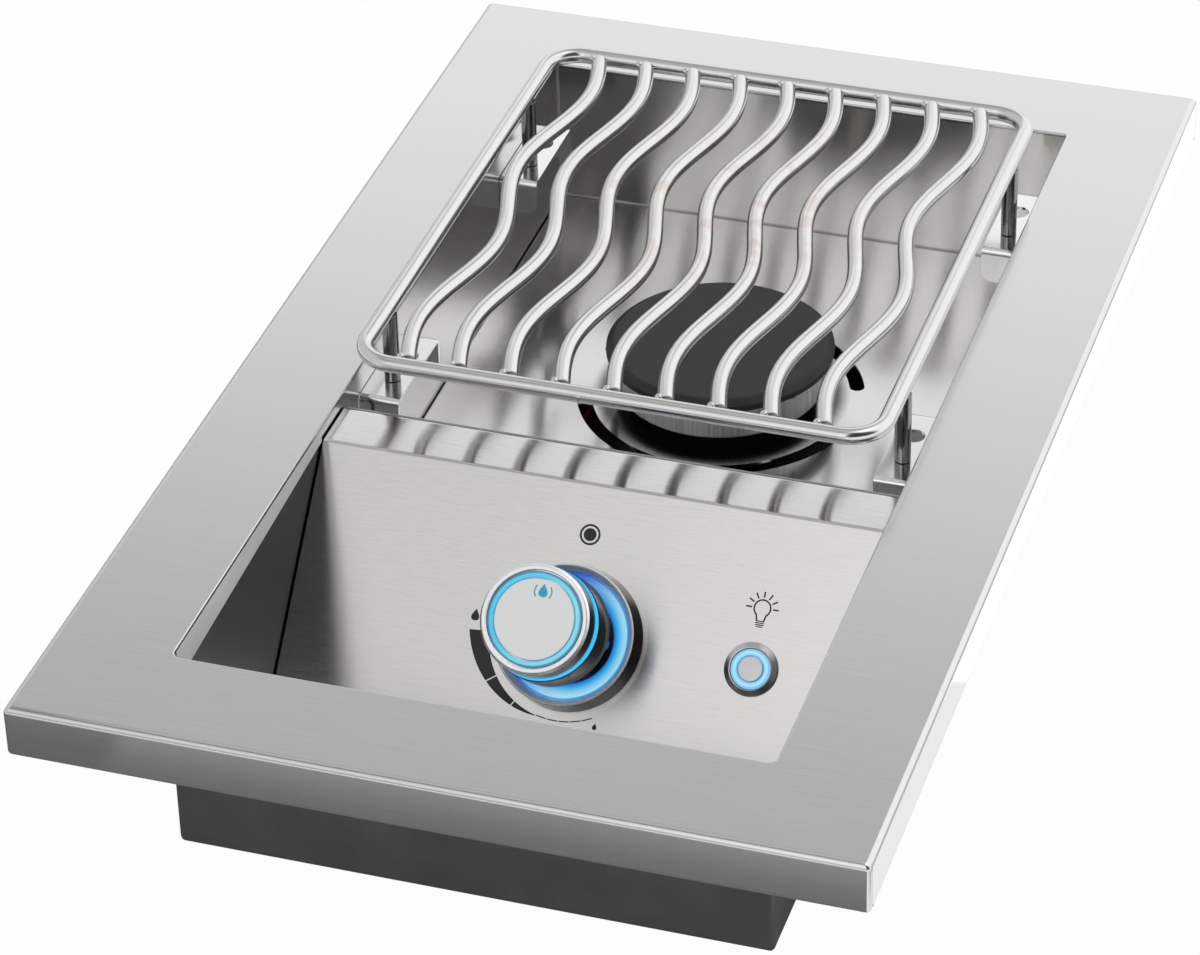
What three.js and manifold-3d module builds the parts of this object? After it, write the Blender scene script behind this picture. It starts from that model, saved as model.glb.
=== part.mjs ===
// Built-in gas side burner for an outdoor counter, in millimetres.
// X is to the right, Y to the back and Z up. The origin lies under the middle of the trim frame, at the
// underside of the fire box.

import * as THREE from 'three';
import { mergeGeometries, mergeVertices } from 'three/addons/utils/BufferGeometryUtils.js';
import Module from 'manifold-3d';

const wasm = await Module();
wasm.setup();

// Overall sizes
const trimWidth = 356;
const trimDepth = 599;
const trimTop = 92;
const skirtHeight = 23.6;
const borderSide = 52;
const borderEnd = 51;

// Sheet metal and clearances
const sheet = 1.2;
const insideBend = 1.3;
const seatGap = 0.3;
const slideGap = 0.3;
const holeGap = 0.5;
const overrun = 2;
const weldDistance = 0.0001;

// Trim frame
const trimBend = 3;
const trimCorner = 1.8;
const openingEdge = 0.8;
const openingCornerFront = 4;
const openingCornerRear = 1;
const hemWidth = 14;
const hemBend = 2;

// Fire box
const boxFrontReach = 5;
const boxBottomBend = 3.5;
const boxCorner = 2.2;
const leastCorner = 0.5;
const boxFlange = 14;
const ventRadius = 6;
const ventSpread = 62;
const ventPitch = 130;

// Burner floor and what carries it
const floorTop = 18.5;
const floorBend = 2.5;
const floorFlange = 10;
const railShelf = 11;
const railEndGap = 4;
const slotFromHead = 15;
const slotWidth = 7;
const slotWeb = 20;

// Grate brackets
const bracketDrop = 13;
const bracketReach = 18.5;
const bracketLength = 54;
const bracketTab = 17;
const bracketSheet = 1.5;
const bracketCorner = 5;
const bracketFromStrip = 17.5;
const bracketFromRear = 35;
const bracketHole = 5;
const footInset = 17;
const holeBehindFoot = 19;

// Grate
const grateRise = 25;
const grateRod = 7.4;
const grateSideGap = 10;
const grateFrontOverhang = 9;
const grateRearGap = 30.5;
const grateCorner = 16;
const legRod = 7.2;
const wavyRods = 9;
const wavyEdgeGap = 23.4;
const waveHeight = 6.3;
const waveLength = 135;
const wavePeakFromRear = 36;
const waveShift = 0.7;

// Control panel
const stripDrop = 7;
const stripFromFront = 198.5;
const stripDepth = 27;
const panelSlope = 47;
const panelEndGap = 0.8;
const panelLip = 9;
const panelFoot = 12;
const panelCornerCut = 48;
const controlDown = 66.5;

// Burner
const burnerBehind = 1.25;
const burnerGap = 6.5;
const headRadius = 48;
const headWall = 4.5;
const headHeight = 16.5;
const headFloor = 3;
const headMouth = 18;
const headEdge = 1.5;
const portCount = 24;
const portWidth = 1.8;
const portDepth = 3.5;
const capRadius = 52.4;
const capHeight = 5.8;
const capBevel = 3.5;
const capShoulder = 0.9;
const capShoulderDrop = 1.2;
const capRim = 2.6;
const capUnderEdge = 0.8;
const capSpigot = 3.4;
const capSpigotWall = 3;
const capHollow = 2;
const basePlate = 3.7;
const baseRadius = 32;
const baseNeck = 11;
const baseFootRing = 24;
const baseFootRadius = 4.5;
const baseFeet = 3;
const studRadius = 2;
const studLength = 9;

// Gas train
const mixerRadius = 6.5;
const mixerWall = 1;
const mixerBend = 9.4;
const mixerInHead = 0.4;
const mixerHoleGap = 3;
const shutterWall = 0.8;
const shutterLength = 13.5;
const shutterWindow = 6;
const orificeBase = 5.5;
const orificeTip = 2.2;
const orificeBore = 0.9;
const orificeHex = 6;
const orificeLength = 13;
const orificeToMixer = 2;
const valveBlock = 24;
const valveDepth = 20;
const outletRadius = 5;
const outletBore = 3;
const outletLength = 24;
const inletReach = 8;
const inletDepth = 29;
const bonnetFlange = 19;
const bonnetFlangeThick = 2.5;
const bonnetNeck = 10;
const bonnetLength = 14.5;
const stemRadius = 5;
const stemPush = 3.5;
const stemSpare = 4.5;
const valveScrewSpread = 14;
const valveScrewHead = 3.2;
const valveScrewShank = 1.9;
const valveScrewHeight = 2.4;
const valveScrewFlat = 1.9;
const valveScrewRim = 0.8;
const supplyRadius = 4;
const supplyWall = 1;
const supplySideGap = 31;
const supplyBend = 14;
const fittingShank = 4.8;
const fittingShankLength = 8.5;
const fittingBore = 3.2;
const fittingHex = 17;
const fittingHexLength = 8;
const fittingFlare = 7;
const fittingFlareLength = 14;
const lockNutHex = 13;
const lockNutLength = 5;

// Igniter and wiring
const igniterFromHead = 6;
const igniterRadius = 3.2;
const igniterCollar = 5.5;
const igniterCollarThick = 2;
const igniterBelow = 5;
const igniterAbove = 11.5;
const electrodeRadius = 0.9;
const electrodeStraight = 4.5;
const electrodeReach = 2.5;
const electrodeRise = 3;
const moduleWidth = 58;
const moduleDepth = 34;
const moduleHeight = 24;
const moduleEdge = 3;
const moduleSideGap = 54;
const moduleBehindStrip = 16;
const leadRadius = 1.2;
const leadBend = 5;
const leadHeight = 6;
const leadFromModule = 12;
const leadTurnBefore = 60;
const socketFromSupply = 35;
const socketRadius = 4.6;
const socketBody = 5.6;
const socketInside = 10;
const socketFlange = 6.8;
const socketFlangeThick = 2.5;
const socketBore = 3.4;
const socketBoreDepth = 8;
const lightLeadDrop = 8;
const lightLeadTurn = 12;

// Knob and its bezel, measured out from the panel's face
const bezelRadius = 31.4;
const bezelHeight = 12.8;
const bezelTaper = 1;
const bezelLip = 0.5;
const bezelDishRadius = 27.5;
const bezelDishHeight = 8.2;
const bezelFootWall = 4.5;
const glowRingInner = 19.5;
const glowRingFloor = 2.5;
const glowRingWall = 1;
const knobRadius = 24.3;
const knobHeight = 61.5;
const knobCapRadius = 23.3;
const knobCapHeight = 11;
const knobLightHeight = 3;
const knobSkirtHeight = 18.6;
const knobLightInset = 0.4;
const knobLightWall = 2.2;
const knobCapRound = 0.7;
const knobHub = 17;
const knobRecess = 2.4;
const faceLightRadius = 20.1;
const faceLightWidth = 2.7;
const faceLightSink = 0.4;
const faceDiscSink = 0.1;
const stemInKnob = 30;
const springSeatOuter = 8.5;
const springSeatThick = 1;
const springSeatHeight = 7;
const springRadius = 7.2;
const springWire = 0.4;
const springTurns = 2.5;

// Light switch, measured out from the panel's face
const switchSideGap = 46.6;
const switchRadius = 11.5;
const switchHeight = 2.6;
const switchRim = 0.9;
const switchBore = 8.8;
const switchSpare = 0.9;
const switchBarrel = 9.2;
const switchLength = 20;
const switchNutHex = 23;
const switchNutLength = 3;
const switchPush = 1.5;
const buttonDepth = 1.8;
const buttonBase = 0.6;
const buttonCentre = 5.4;
const buttonTop = 2.3;
const switchLightTop = 2.1;
const terminalCount = 4;
const terminalRing = 4.5;
const terminalWidth = 2.4;
const terminalThick = 0.8;
const terminalLength = 5;

// How round things are
const cornerSteps = 3;
const bendSteps = 3;
const smallSides = 16;
const hexSides = 6;
const holeSides = 10;
const switchSides = 20;
const knobSides = 32;
const burnerSides = 36;
const rodSides = 8;
const frameSides = 10;
const wavySteps = 20;
const slotSteps = 8;
const filletSteps = 4;
const coilSteps = 8;
const coilSides = 5;

// Places worked out from the sizes above
const openHalfX = trimWidth / 2 - borderSide;
const openHalfY = trimDepth / 2 - borderEnd;
const boxHalfX = openHalfX + sheet;
const boxRear = openHalfY + sheet;
const boxFront = -boxRear - boxFrontReach;
const boxTop = trimTop - sheet - seatGap;
const stripTop = trimTop - stripDrop;
const stripRear = stripFromFront - openHalfY;
const stripFront = stripRear - stripDepth;
const burnerY = (stripRear + openHalfY) / 2 + burnerBehind;
const slopeSin = Math.sin(THREE.MathUtils.degToRad(panelSlope));
const slopeCos = Math.cos(THREE.MathUtils.degToRad(panelSlope));
const controlY = stripFront - controlDown * slopeCos;
const controlZ = stripTop - controlDown * slopeSin;
const dividerFront = stripRear + seatGap;
const dividerRear = dividerFront + sheet;
const floorFront = dividerRear + seatGap;
const floorRear = openHalfY - slideGap;
const floorUnder = floorTop - sheet;
const underFloor = (sheet + floorUnder) / 2;
const bracketTop = trimTop - bracketDrop;
const bracketFrontStart = stripRear + bracketFromStrip;
const bracketRearStart = openHalfY - bracketFromRear - bracketLength;
const grateZ = trimTop + grateRise;
const grateHalfX = openHalfX - grateSideGap;
const grateFront = stripRear - grateFrontOverhang;
const grateRear = openHalfY - grateRearGap;
const rodRadius = grateRod / 2;
const wavyPitch = (grateHalfX - wavyEdgeGap) / ((wavyRods - 1) / 2);
const headBase = floorTop + burnerGap;
const headTop = headBase + headHeight;
const capBase = headTop + seatGap;
const capTop = capBase + capHeight;
const slotRadius = headRadius + slotFromHead;
const igniterY = burnerY + headRadius + igniterFromHead;
const supplyX = openHalfX - supplySideGap;
const socketX = supplyX - socketFromSupply;
const switchX = openHalfX - switchSideGap;
const moduleX = moduleSideGap - openHalfX;
const leadX = moduleX + leadFromModule;
const valveTop = -sheet - seatGap;
const blockTop = valveTop - bonnetLength - seatGap;
const stemBoreDepth = stemPush + stemSpare;
const switchBoreDepth = buttonDepth + switchPush + switchSpare;
const hubBase = springSeatHeight + springSeatThick + seatGap;
const panelFrame = new THREE.Matrix4().makeRotationX(THREE.MathUtils.degToRad(panelSlope));
panelFrame.setPosition(0, controlY, controlZ);

// Materials
function metal(color, roughness) {
  return new THREE.MeshStandardMaterial({ color, roughness, metalness: 1 });
}
const brushed = metal(0xc9c8c4, 0.34);
const darkSheet = metal(0x6d6c69, 0.45);
const polished = metal(0xe9e9ea, 0.12);
const darkChrome = metal(0x2c2a29, 0.16);
const brass = metal(0xb58f4a, 0.35);
const castAluminium = metal(0xb4b4b2, 0.5);
const galvanised = metal(0xa9adb0, 0.42);
const springSteel = metal(0x9a9a9c, 0.3);
const blackEnamel = new THREE.MeshStandardMaterial({ color: 0x38373a, roughness: 0.42, metalness: 0 });
const ceramic = new THREE.MeshStandardMaterial({ color: 0xe8e3d6, roughness: 0.4, metalness: 0 });
const blackPlastic = new THREE.MeshStandardMaterial({ color: 0x1d1d1f, roughness: 0.55, metalness: 0 });
const redLead = new THREE.MeshStandardMaterial({ color: 0x8c2f26, roughness: 0.6, metalness: 0 });
const blueGlow = new THREE.MeshStandardMaterial({
  color: 0x55c6f2, roughness: 0.3, metalness: 0, emissive: 0x1aa7e8, emissiveIntensity: 0.8,
});

// Closed meshes

// Merges shared corners, drops empty triangles and turns the faces outward.
function sealed(source) {
  source.deleteAttribute('normal');
  source.deleteAttribute('uv');
  const merged = mergeVertices(source, weldDistance);
  const place = merged.attributes.position;
  const corners = merged.index.array;
  const kept = [];
  const [a, b, c] = [new THREE.Vector3(), new THREE.Vector3(), new THREE.Vector3()];
  let volume = 0;
  for (let i = 0; i < corners.length; i += 3) {
    const triangle = [corners[i], corners[i + 1], corners[i + 2]];
    if (new Set(triangle).size < 3) continue;
    a.fromBufferAttribute(place, triangle[0]);
    b.fromBufferAttribute(place, triangle[1]);
    c.fromBufferAttribute(place, triangle[2]);
    volume += a.dot(b.cross(c));
    kept.push(triangle);
  }
  if (volume < 0) kept.forEach((triangle) => triangle.reverse());
  merged.setIndex(kept.flat());
  return merged;
}

function toSolid(geometry) {
  const closed = sealed(geometry);
  return new wasm.Manifold(new wasm.Mesh({
    numProp: 3,
    vertProperties: new Float32Array(closed.attributes.position.array),
    triVerts: new Uint32Array(closed.index.array),
  }));
}

function fromSolid(solid) {
  const mesh = solid.getMesh();
  const geometry = new THREE.BufferGeometry();
  geometry.setAttribute('position', new THREE.BufferAttribute(mesh.vertProperties, 3));
  geometry.setIndex(new THREE.BufferAttribute(mesh.triVerts, 1));
  return geometry;
}

function cut(body, cutters) {
  return fromSolid(cutters.reduce((solid, cutter) => solid.subtract(toSolid(cutter)), toSolid(body)));
}

function join(pieces) {
  return fromSolid(pieces.map(toSolid).reduce((whole, piece) => whole.add(piece)));
}

// Several separate solids in one geometry, for a group of alike fasteners.
function together(pieces) {
  return mergeGeometries(pieces.map(sealed));
}

// Skins a row of rings that have as many points each, and closes it with caps or into a loop.
function loft(rings, closed = false) {
  const count = rings[0].length;
  const points = rings.flat();
  const triangles = [];
  const spans = closed ? rings.length : rings.length - 1;
  for (let row = 0; row < spans; row++) {
    const next = (row + 1) % rings.length;
    for (let i = 0; i < count; i++) {
      const j = (i + 1) % count;
      triangles.push([row * count + i, row * count + j, next * count + j]);
      triangles.push([row * count + i, next * count + j, next * count + i]);
    }
  }
  const cap = (row, flip) => {
    const ring = rings[row];
    const middle = [0, 1, 2].map((axis) => ring.reduce((sum, point) => sum + point[axis], 0) / count);
    const centre = points.push(middle) - 1;
    for (let i = 0; i < count; i++) {
      const [near, far] = [row * count + i, row * count + (i + 1) % count];
      triangles.push(flip ? [centre, far, near] : [centre, near, far]);
    }
  };
  if (!closed) {
    cap(0, true);
    cap(rings.length - 1, false);
  }
  const geometry = new THREE.BufferGeometry();
  geometry.setAttribute('position', new THREE.Float32BufferAttribute(points.flat(), 3));
  geometry.setIndex(triangles.flat());
  return sealed(geometry);
}

// A ring of points round a rectangle with rounded corners, seen from above.
function roundedRing(halfX, front, rear, z, cornerFront, cornerRear) {
  const corners = [
    [halfX - cornerRear, rear - cornerRear, cornerRear],
    [cornerRear - halfX, rear - cornerRear, cornerRear],
    [cornerFront - halfX, front + cornerFront, cornerFront],
    [halfX - cornerFront, front + cornerFront, cornerFront],
  ];
  return corners.flatMap(([x, y, radius], quarter) => (
    Array.from({ length: cornerSteps + 1 }, (_, step) => {
      const angle = (quarter + step / cornerSteps) * Math.PI / 2;
      return [x + radius * Math.cos(angle), y + radius * Math.sin(angle), z];
    })
  ));
}

// Shares of a quarter turn: how far across and how far up each step of a bend is.
function bendShares() {
  return Array.from({ length: bendSteps + 1 }, (_, step) => {
    const angle = (step / bendSteps) * Math.PI / 2;
    return [Math.sin(angle), Math.cos(angle)];
  });
}

// Sweeps a round section along a path: a rod, a tube with a bore, or a closed loop.
function sweep(path, radius, { bore = 0, closed = false, sides = rodSides } = {}) {
  const points = path.map((point) => new THREE.Vector3(...point));
  const last = points.length - 1;
  const tangents = points.map((point, i) => {
    const before = points[closed ? (i + last) % (last + 1) : Math.max(i - 1, 0)];
    const after = points[closed ? (i + 1) % (last + 1) : Math.min(i + 1, last)];
    return after.clone().sub(before).normalize();
  });
  const steep = Math.abs(tangents[0].z) > Math.SQRT1_2;
  const up = steep ? new THREE.Vector3(1, 0, 0) : new THREE.Vector3(0, 0, 1);
  let side = up.cross(tangents[0]).normalize();
  const frames = tangents.map((tangent, i) => {
    if (i > 0) {
      const turn = new THREE.Quaternion().setFromUnitVectors(tangents[i - 1], tangent);
      side = side.clone().applyQuaternion(turn);
    }
    return [side, tangent.clone().cross(side)];
  });
  const ring = (i, size) => Array.from({ length: sides }, (_, k) => {
    const angle = (k + 1 / 2) / sides * Math.PI * 2;
    const [across, along] = frames[i];
    return points[i].clone()
      .addScaledVector(across, size * Math.cos(angle))
      .addScaledVector(along, size * Math.sin(angle))
      .toArray();
  });
  const outer = points.map((_, i) => ring(i, radius));
  if (!bore) return loft(outer, closed);
  const inner = points.map((_, i) => ring(i, bore)).reverse();
  return loft([...outer, ...inner], true);
}

// A path through corner points, each corner rounded to a radius.
function roundedPath(corners, radius, closed = false) {
  const points = corners.map((corner) => new THREE.Vector3(...corner));
  const count = points.length;
  return points.flatMap((corner, i) => {
    if (!closed && (i === 0 || i === count - 1)) return [corner.toArray()];
    const toBefore = points[(i + count - 1) % count].clone().sub(corner).normalize();
    const toAfter = points[(i + 1) % count].clone().sub(corner).normalize();
    const half = toBefore.angleTo(toAfter) / 2;
    const middle = toBefore.clone().add(toAfter).normalize();
    const centre = corner.clone().addScaledVector(middle, radius / Math.sin(half));
    const reach = radius / Math.tan(half);
    const start = corner.clone().addScaledVector(toBefore, reach).sub(centre);
    const end = corner.clone().addScaledVector(toAfter, reach).sub(centre);
    const axis = start.clone().cross(end).normalize();
    const bend = start.angleTo(end);
    return Array.from({ length: filletSteps + 1 }, (_, step) => (
      start.clone().applyAxisAngle(axis, bend * step / filletSteps).add(centre).toArray()
    ));
  });
}

// A body turned about Z. Its outline is [radius, height] pairs, and closes on itself or on the axis.
function turned(outline, sides) {
  const points = outline.map(([radius, height]) => new THREE.Vector2(radius, height));
  if (outline[0][0] > 0) points.push(points[0].clone());
  return new THREE.LatheGeometry(points, sides).rotateX(Math.PI / 2);
}

function rod(axis, radius, length, sides = smallSides) {
  const geometry = new THREE.CylinderGeometry(radius, radius, length, sides);
  if (axis === 'x') geometry.rotateZ(Math.PI / 2);
  if (axis === 'z') geometry.rotateX(Math.PI / 2);
  return geometry;
}

// A six-sided bar along Z with two flats facing the front and back.
function hexBar(acrossFlats, length) {
  const corner = acrossFlats / Math.sqrt(3);
  const bar = new THREE.CylinderGeometry(corner, corner, length, hexSides);
  return bar.rotateX(Math.PI / 2).rotateZ(Math.PI / 2);
}

// The outline of a folded sheet, from the line of its face. The sheet lies to the left or the right.
function foldedShape(corners, thickness, side) {
  const points = corners.map(([x, y]) => new THREE.Vector2(x, y));
  const face = [];
  const back = [];
  const push = (point, normal) => {
    face.push(point);
    back.push(point.clone().addScaledVector(normal, thickness));
  };
  const normalOf = (direction) => new THREE.Vector2(-direction.y, direction.x).multiplyScalar(side);
  points.forEach((corner, i) => {
    if (i === 0 || i === points.length - 1) {
      const direction = i === 0 ? points[1].clone().sub(corner) : corner.clone().sub(points[i - 1]);
      push(corner, normalOf(direction.normalize()));
      return;
    }
    const into = corner.clone().sub(points[i - 1]).normalize();
    const out = points[i + 1].clone().sub(corner).normalize();
    const turnAngle = Math.atan2(into.cross(out), into.dot(out));
    const radius = turnAngle * side > 0 ? insideBend + thickness : insideBend;
    const back1 = radius * Math.tan(Math.abs(turnAngle) / 2);
    const start = corner.clone().addScaledVector(into, -back1);
    const toCentre = new THREE.Vector2(-into.y, into.x).multiplyScalar(Math.sign(turnAngle));
    const centre = start.clone().addScaledVector(toCentre, radius);
    for (let step = 0; step <= bendSteps; step++) {
      const angle = turnAngle * step / bendSteps;
      const point = start.clone().rotateAround(centre, angle);
      push(point, normalOf(into.clone().rotateAround(new THREE.Vector2(), angle)));
    }
  });
  return new THREE.Shape([...face, ...back.reverse()]);
}

// Extrudes a shape drawn in Y and Z along X, from x = from to x = to.
function alongX(shape, from, to) {
  const geometry = new THREE.ExtrudeGeometry(shape, { depth: to - from, bevelEnabled: false });
  const axes = new THREE.Matrix4().makeBasis(
    new THREE.Vector3(0, 1, 0), new THREE.Vector3(0, 0, 1), new THREE.Vector3(1, 0, 0));
  return geometry.applyMatrix4(axes).translate(from, 0, 0);
}

// Extrudes a shape drawn in X and Z along Y, from y = from to y = to.
function alongY(shape, from, to) {
  const settings = { depth: to - from, bevelEnabled: false, curveSegments: holeSides / 2 };
  return new THREE.ExtrudeGeometry(shape, settings).rotateX(Math.PI / 2).translate(0, to, 0);
}

// Where a point of the panel's own frame lies: up the slope and out from its face.
function fromPanel(up, out) {
  return [controlY + up * slopeCos - out * slopeSin, controlZ + up * slopeSin + out * slopeCos];
}

// Trim frame and fire box

function trimFrame() {
  const ring = (insetX, insetY, z, front, rear) => (
    roundedRing(trimWidth / 2 - insetX, insetY - trimDepth / 2, trimDepth / 2 - insetY, z, front, rear)
  );
  const edge = (inset, z) => ring(inset, inset, z, trimCorner, trimCorner);
  const opening = (back, z) => (
    ring(borderSide - back, borderEnd - back, z, openingCornerFront + back, openingCornerRear + back)
  );
  const skirtBase = trimTop - skirtHeight;
  const shares = bendShares();
  return loft([
    opening(0, trimTop - sheet),
    ...shares.map(([across, up]) => (
      opening(openingEdge * (1 - up), trimTop - openingEdge * (1 - across))
    )),
    ...shares.map(([across, up]) => edge(trimBend * (1 - across), trimTop - trimBend * (1 - up))),
    ...shares.map(([across, up]) => edge(hemBend * (1 - up), skirtBase + hemBend * (1 - across))),
    edge(hemWidth, skirtBase),
    edge(hemWidth, skirtBase + sheet),
    ...shares.toReversed().map(([across, up]) => (
      edge(sheet + (hemBend - sheet) * (1 - up), skirtBase + sheet + (hemBend - sheet) * (1 - across))
    )),
    ...shares.toReversed().map(([across, up]) => (
      edge(sheet + (trimBend - sheet) * (1 - across), trimTop - sheet - (trimBend - sheet) * (1 - up))
    )),
  ], true);
}

function fireBox() {
  const ring = (inset, z) => {
    const corner = Math.max(boxCorner - inset, leastCorner);
    return roundedRing(boxHalfX - inset, boxFront + inset, boxRear - inset, z, corner, corner);
  };
  const shares = bendShares();
  const innerBend = boxBottomBend - sheet;
  const shell = loft([
    ...shares.map(([across, up]) => ring(boxBottomBend * (1 - across), boxBottomBend * (1 - up))),
    ring(0, boxTop - sheet),
    ring(-boxFlange, boxTop - sheet),
    ring(-boxFlange, boxTop),
    ring(sheet, boxTop),
    ...shares.toReversed().map(([across, up]) => (
      ring(sheet + innerBend * (1 - across), sheet + innerBend * (1 - up))
    )),
  ]);
  const wallLength = sheet + overrun * 2;
  const cutters = [
    rod('y', fittingShank + holeGap, wallLength).translate(supplyX, boxRear - sheet / 2, underFloor),
    rod('y', socketRadius + holeGap, wallLength).translate(socketX, boxRear - sheet / 2, underFloor),
  ];
  for (const x of [-ventSpread, ventSpread]) {
    for (const y of [burnerY - ventPitch / 2, burnerY + ventPitch / 2]) {
      cutters.push(rod('z', ventRadius, wallLength).translate(x, y, sheet / 2));
    }
  }
  return cut(shell, cutters);
}

// Burner floor, its rails and the divider

// What passes under the floor, front to back or part of the way: its place, half width and height.
const passages = [
  { x: leadX, half: leadRadius, z: leadHeight },
  { x: 0, half: mixerRadius, z: underFloor },
  { x: socketX, half: leadRadius, z: underFloor },
  { x: supplyX, half: supplyRadius, z: underFloor },
];

function arcSlot(from, to) {
  const half = slotWidth / 2;
  const end = (angle) => [slotRadius * Math.cos(angle), slotRadius * Math.sin(angle)];
  const shape = new THREE.Shape();
  shape.absarc(0, 0, slotRadius + half, from, to, false);
  shape.absarc(...end(to), half, to, to + Math.PI, false);
  shape.absarc(0, 0, slotRadius - half, to, from, true);
  shape.absarc(...end(from), half, from + Math.PI, from + Math.PI * 2, false);
  const depth = sheet + overrun * 2;
  const settings = { depth, bevelEnabled: false, curveSegments: slotSteps };
  return new THREE.ExtrudeGeometry(shape, settings).translate(0, burnerY, floorUnder - overrun);
}

function feetPlaces() {
  return Array.from({ length: baseFeet }, (_, k) => {
    const angle = (k / baseFeet + 1 / 4) * Math.PI * 2;
    return [baseFootRing * Math.cos(angle), burnerY + baseFootRing * Math.sin(angle)];
  });
}

function burnerFloor() {
  const halfX = openHalfX - slideGap;
  const ring = (inset, z) => roundedRing(
    halfX - inset, floorFront + inset, floorRear - inset, z, openingCornerRear, openingCornerRear);
  const shares = bendShares();
  const inner = floorBend - sheet;
  const flangeBase = floorTop - floorFlange;
  const outerBend = ([across, up]) => ring(floorBend * (1 - across), floorTop - floorBend * (1 - up));
  const innerBend = ([across, up]) => ring(sheet + inner * (1 - across), floorUnder - inner * (1 - up));
  const pan = loft([
    ...shares.map(outerBend),
    ring(0, flangeBase),
    ring(sheet, flangeBase),
    ...shares.toReversed().map(innerBend),
  ]);
  const web = THREE.MathUtils.degToRad(slotWeb);
  const hole = (radius, x, y, sides) => (
    rod('z', radius, sheet + overrun * 2, sides).translate(x, y, floorTop - sheet / 2)
  );
  const cutters = [
    arcSlot(web, Math.PI - web),
    arcSlot(Math.PI + web, Math.PI * 2 - web),
    hole(mixerRadius + mixerHoleGap, 0, burnerY),
    hole(igniterRadius + holeGap, 0, igniterY),
    ...feetPlaces().map(([x, y]) => hole(studRadius + holeGap, x, y, rodSides)),
  ];
  const notch = (x, half, y) => {
    const height = floorUnder - inner - flangeBase + overrun;
    const box = new THREE.BoxGeometry(half * 2, sheet + overrun * 2, height);
    return box.translate(x, y, flangeBase - overrun + height / 2);
  };
  for (const { x, half } of passages) {
    cutters.push(notch(x, half + holeGap * 2, floorFront + sheet / 2));
  }
  cutters.push(notch(supplyX, lockNutHex / Math.sqrt(3) + holeGap * 2, floorRear - sheet / 2));
  cutters.push(notch(socketX, socketBody + holeGap * 2, floorRear - sheet / 2));
  return cut(pan, cutters);
}

function floorRail(side) {
  const outer = openHalfX - slideGap - floorBend;
  const top = floorUnder - seatGap;
  const corners = [[outer, top], [outer - railShelf, top], [outer - railShelf, sheet + seatGap]];
  const rail = alongY(foldedShape(corners, sheet, 1), floorFront + railEndGap, floorRear - railEndGap);
  return rail.scale(side, 1, 1);
}

function dividerPlate() {
  const half = openHalfX - panelEndGap;
  const base = sheet + seatGap;
  const shape = new THREE.Shape();
  shape.moveTo(-half, stripTop - sheet);
  shape.lineTo(-half, base + boxBottomBend);
  shape.lineTo(-half + boxBottomBend, base);
  for (const { x, half: reach, z } of passages) {
    const radius = reach + holeGap * 2;
    shape.lineTo(x - radius, base);
    shape.lineTo(x - radius, z);
    shape.absarc(x, z, radius, Math.PI, 0, true);
    shape.lineTo(x + radius, base);
  }
  shape.lineTo(half - boxBottomBend, base);
  shape.lineTo(half, base + boxBottomBend);
  shape.lineTo(half, stripTop - sheet);
  return alongY(shape, dividerFront, dividerRear);
}

// Grate brackets: a shelf with a tab turned down at the front and the back

function grateBracket(side, front) {
  const outer = openHalfX - seatGap;
  const inner = openHalfX - bracketReach;
  const tabBase = bracketTop - bracketTab;
  const corners = [
    [front, tabBase], [front, bracketTop],
    [front + bracketLength, bracketTop], [front + bracketLength, tabBase],
  ];
  const folded = alongX(foldedShape(corners, bracketSheet, -1), inner, outer);
  const corner = new THREE.Shape();
  corner.moveTo(inner - overrun, tabBase - overrun);
  corner.lineTo(inner + bracketCorner, tabBase - overrun);
  corner.lineTo(inner + bracketCorner, tabBase);
  const [middleX, middleZ] = [inner + bracketCorner, tabBase + bracketCorner];
  corner.absarc(middleX, middleZ, bracketCorner, -Math.PI / 2, -Math.PI, true);
  corner.lineTo(inner - overrun, middleZ);
  const hole = rod('z', bracketHole, bracketSheet + overrun * 2);
  hole.translate(grateHalfX, front + footInset + holeBehindFoot, bracketTop - bracketSheet / 2);
  const cutters = [alongY(corner, front - overrun, front + bracketLength + overrun), hole];
  return cut(folded, cutters).scale(side, 1, 1);
}

// Control panel

function controlPanel() {
  const half = openHalfX - panelEndGap;
  const footTop = sheet + seatGap + sheet;
  const footRear = stripFront - (stripTop - footTop) * slopeCos / slopeSin;
  const corners = [
    [stripRear, stripTop - panelLip], [stripRear, stripTop], [stripFront, stripTop],
    [footRear, footTop], [footRear - panelFoot, footTop],
  ];
  const through = sheet + overrun * 2;
  const local = (radius, x, up) => (
    rod('z', radius, through).translate(x, up, -sheet / 2).applyMatrix4(panelFrame)
  );
  const cutters = [
    local(stemRadius + holeGap * 2, 0, 0),
    local(switchBarrel + holeGap, switchX, 0),
    ...[-1, 1].map((side) => local(valveScrewShank + holeGap, side * valveScrewSpread, 0)),
    ...[-1, 1].map((side) => (
      new THREE.BoxGeometry(boxBottomBend * 2, panelCornerCut, boxBottomBend * 2)
        .translate(side * openHalfX, footRear - panelFoot, 0)
    )),
  ];
  return cut(alongX(foldedShape(corners, sheet, 1), -half, half), cutters);
}

// Knob bezel and its lit ring, in the panel's frame

function knobBezel() {
  const lipInner = bezelRadius - bezelTaper - bezelLip * 2;
  const foot = bezelRadius - bezelFootWall;
  return turned([
    [foot, seatGap], [bezelRadius, seatGap], [bezelRadius - bezelTaper, bezelHeight - bezelLip],
    [bezelRadius - bezelTaper - bezelLip, bezelHeight], [lipInner, bezelHeight],
    [bezelDishRadius, bezelDishHeight],
  ], knobSides);
}

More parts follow.
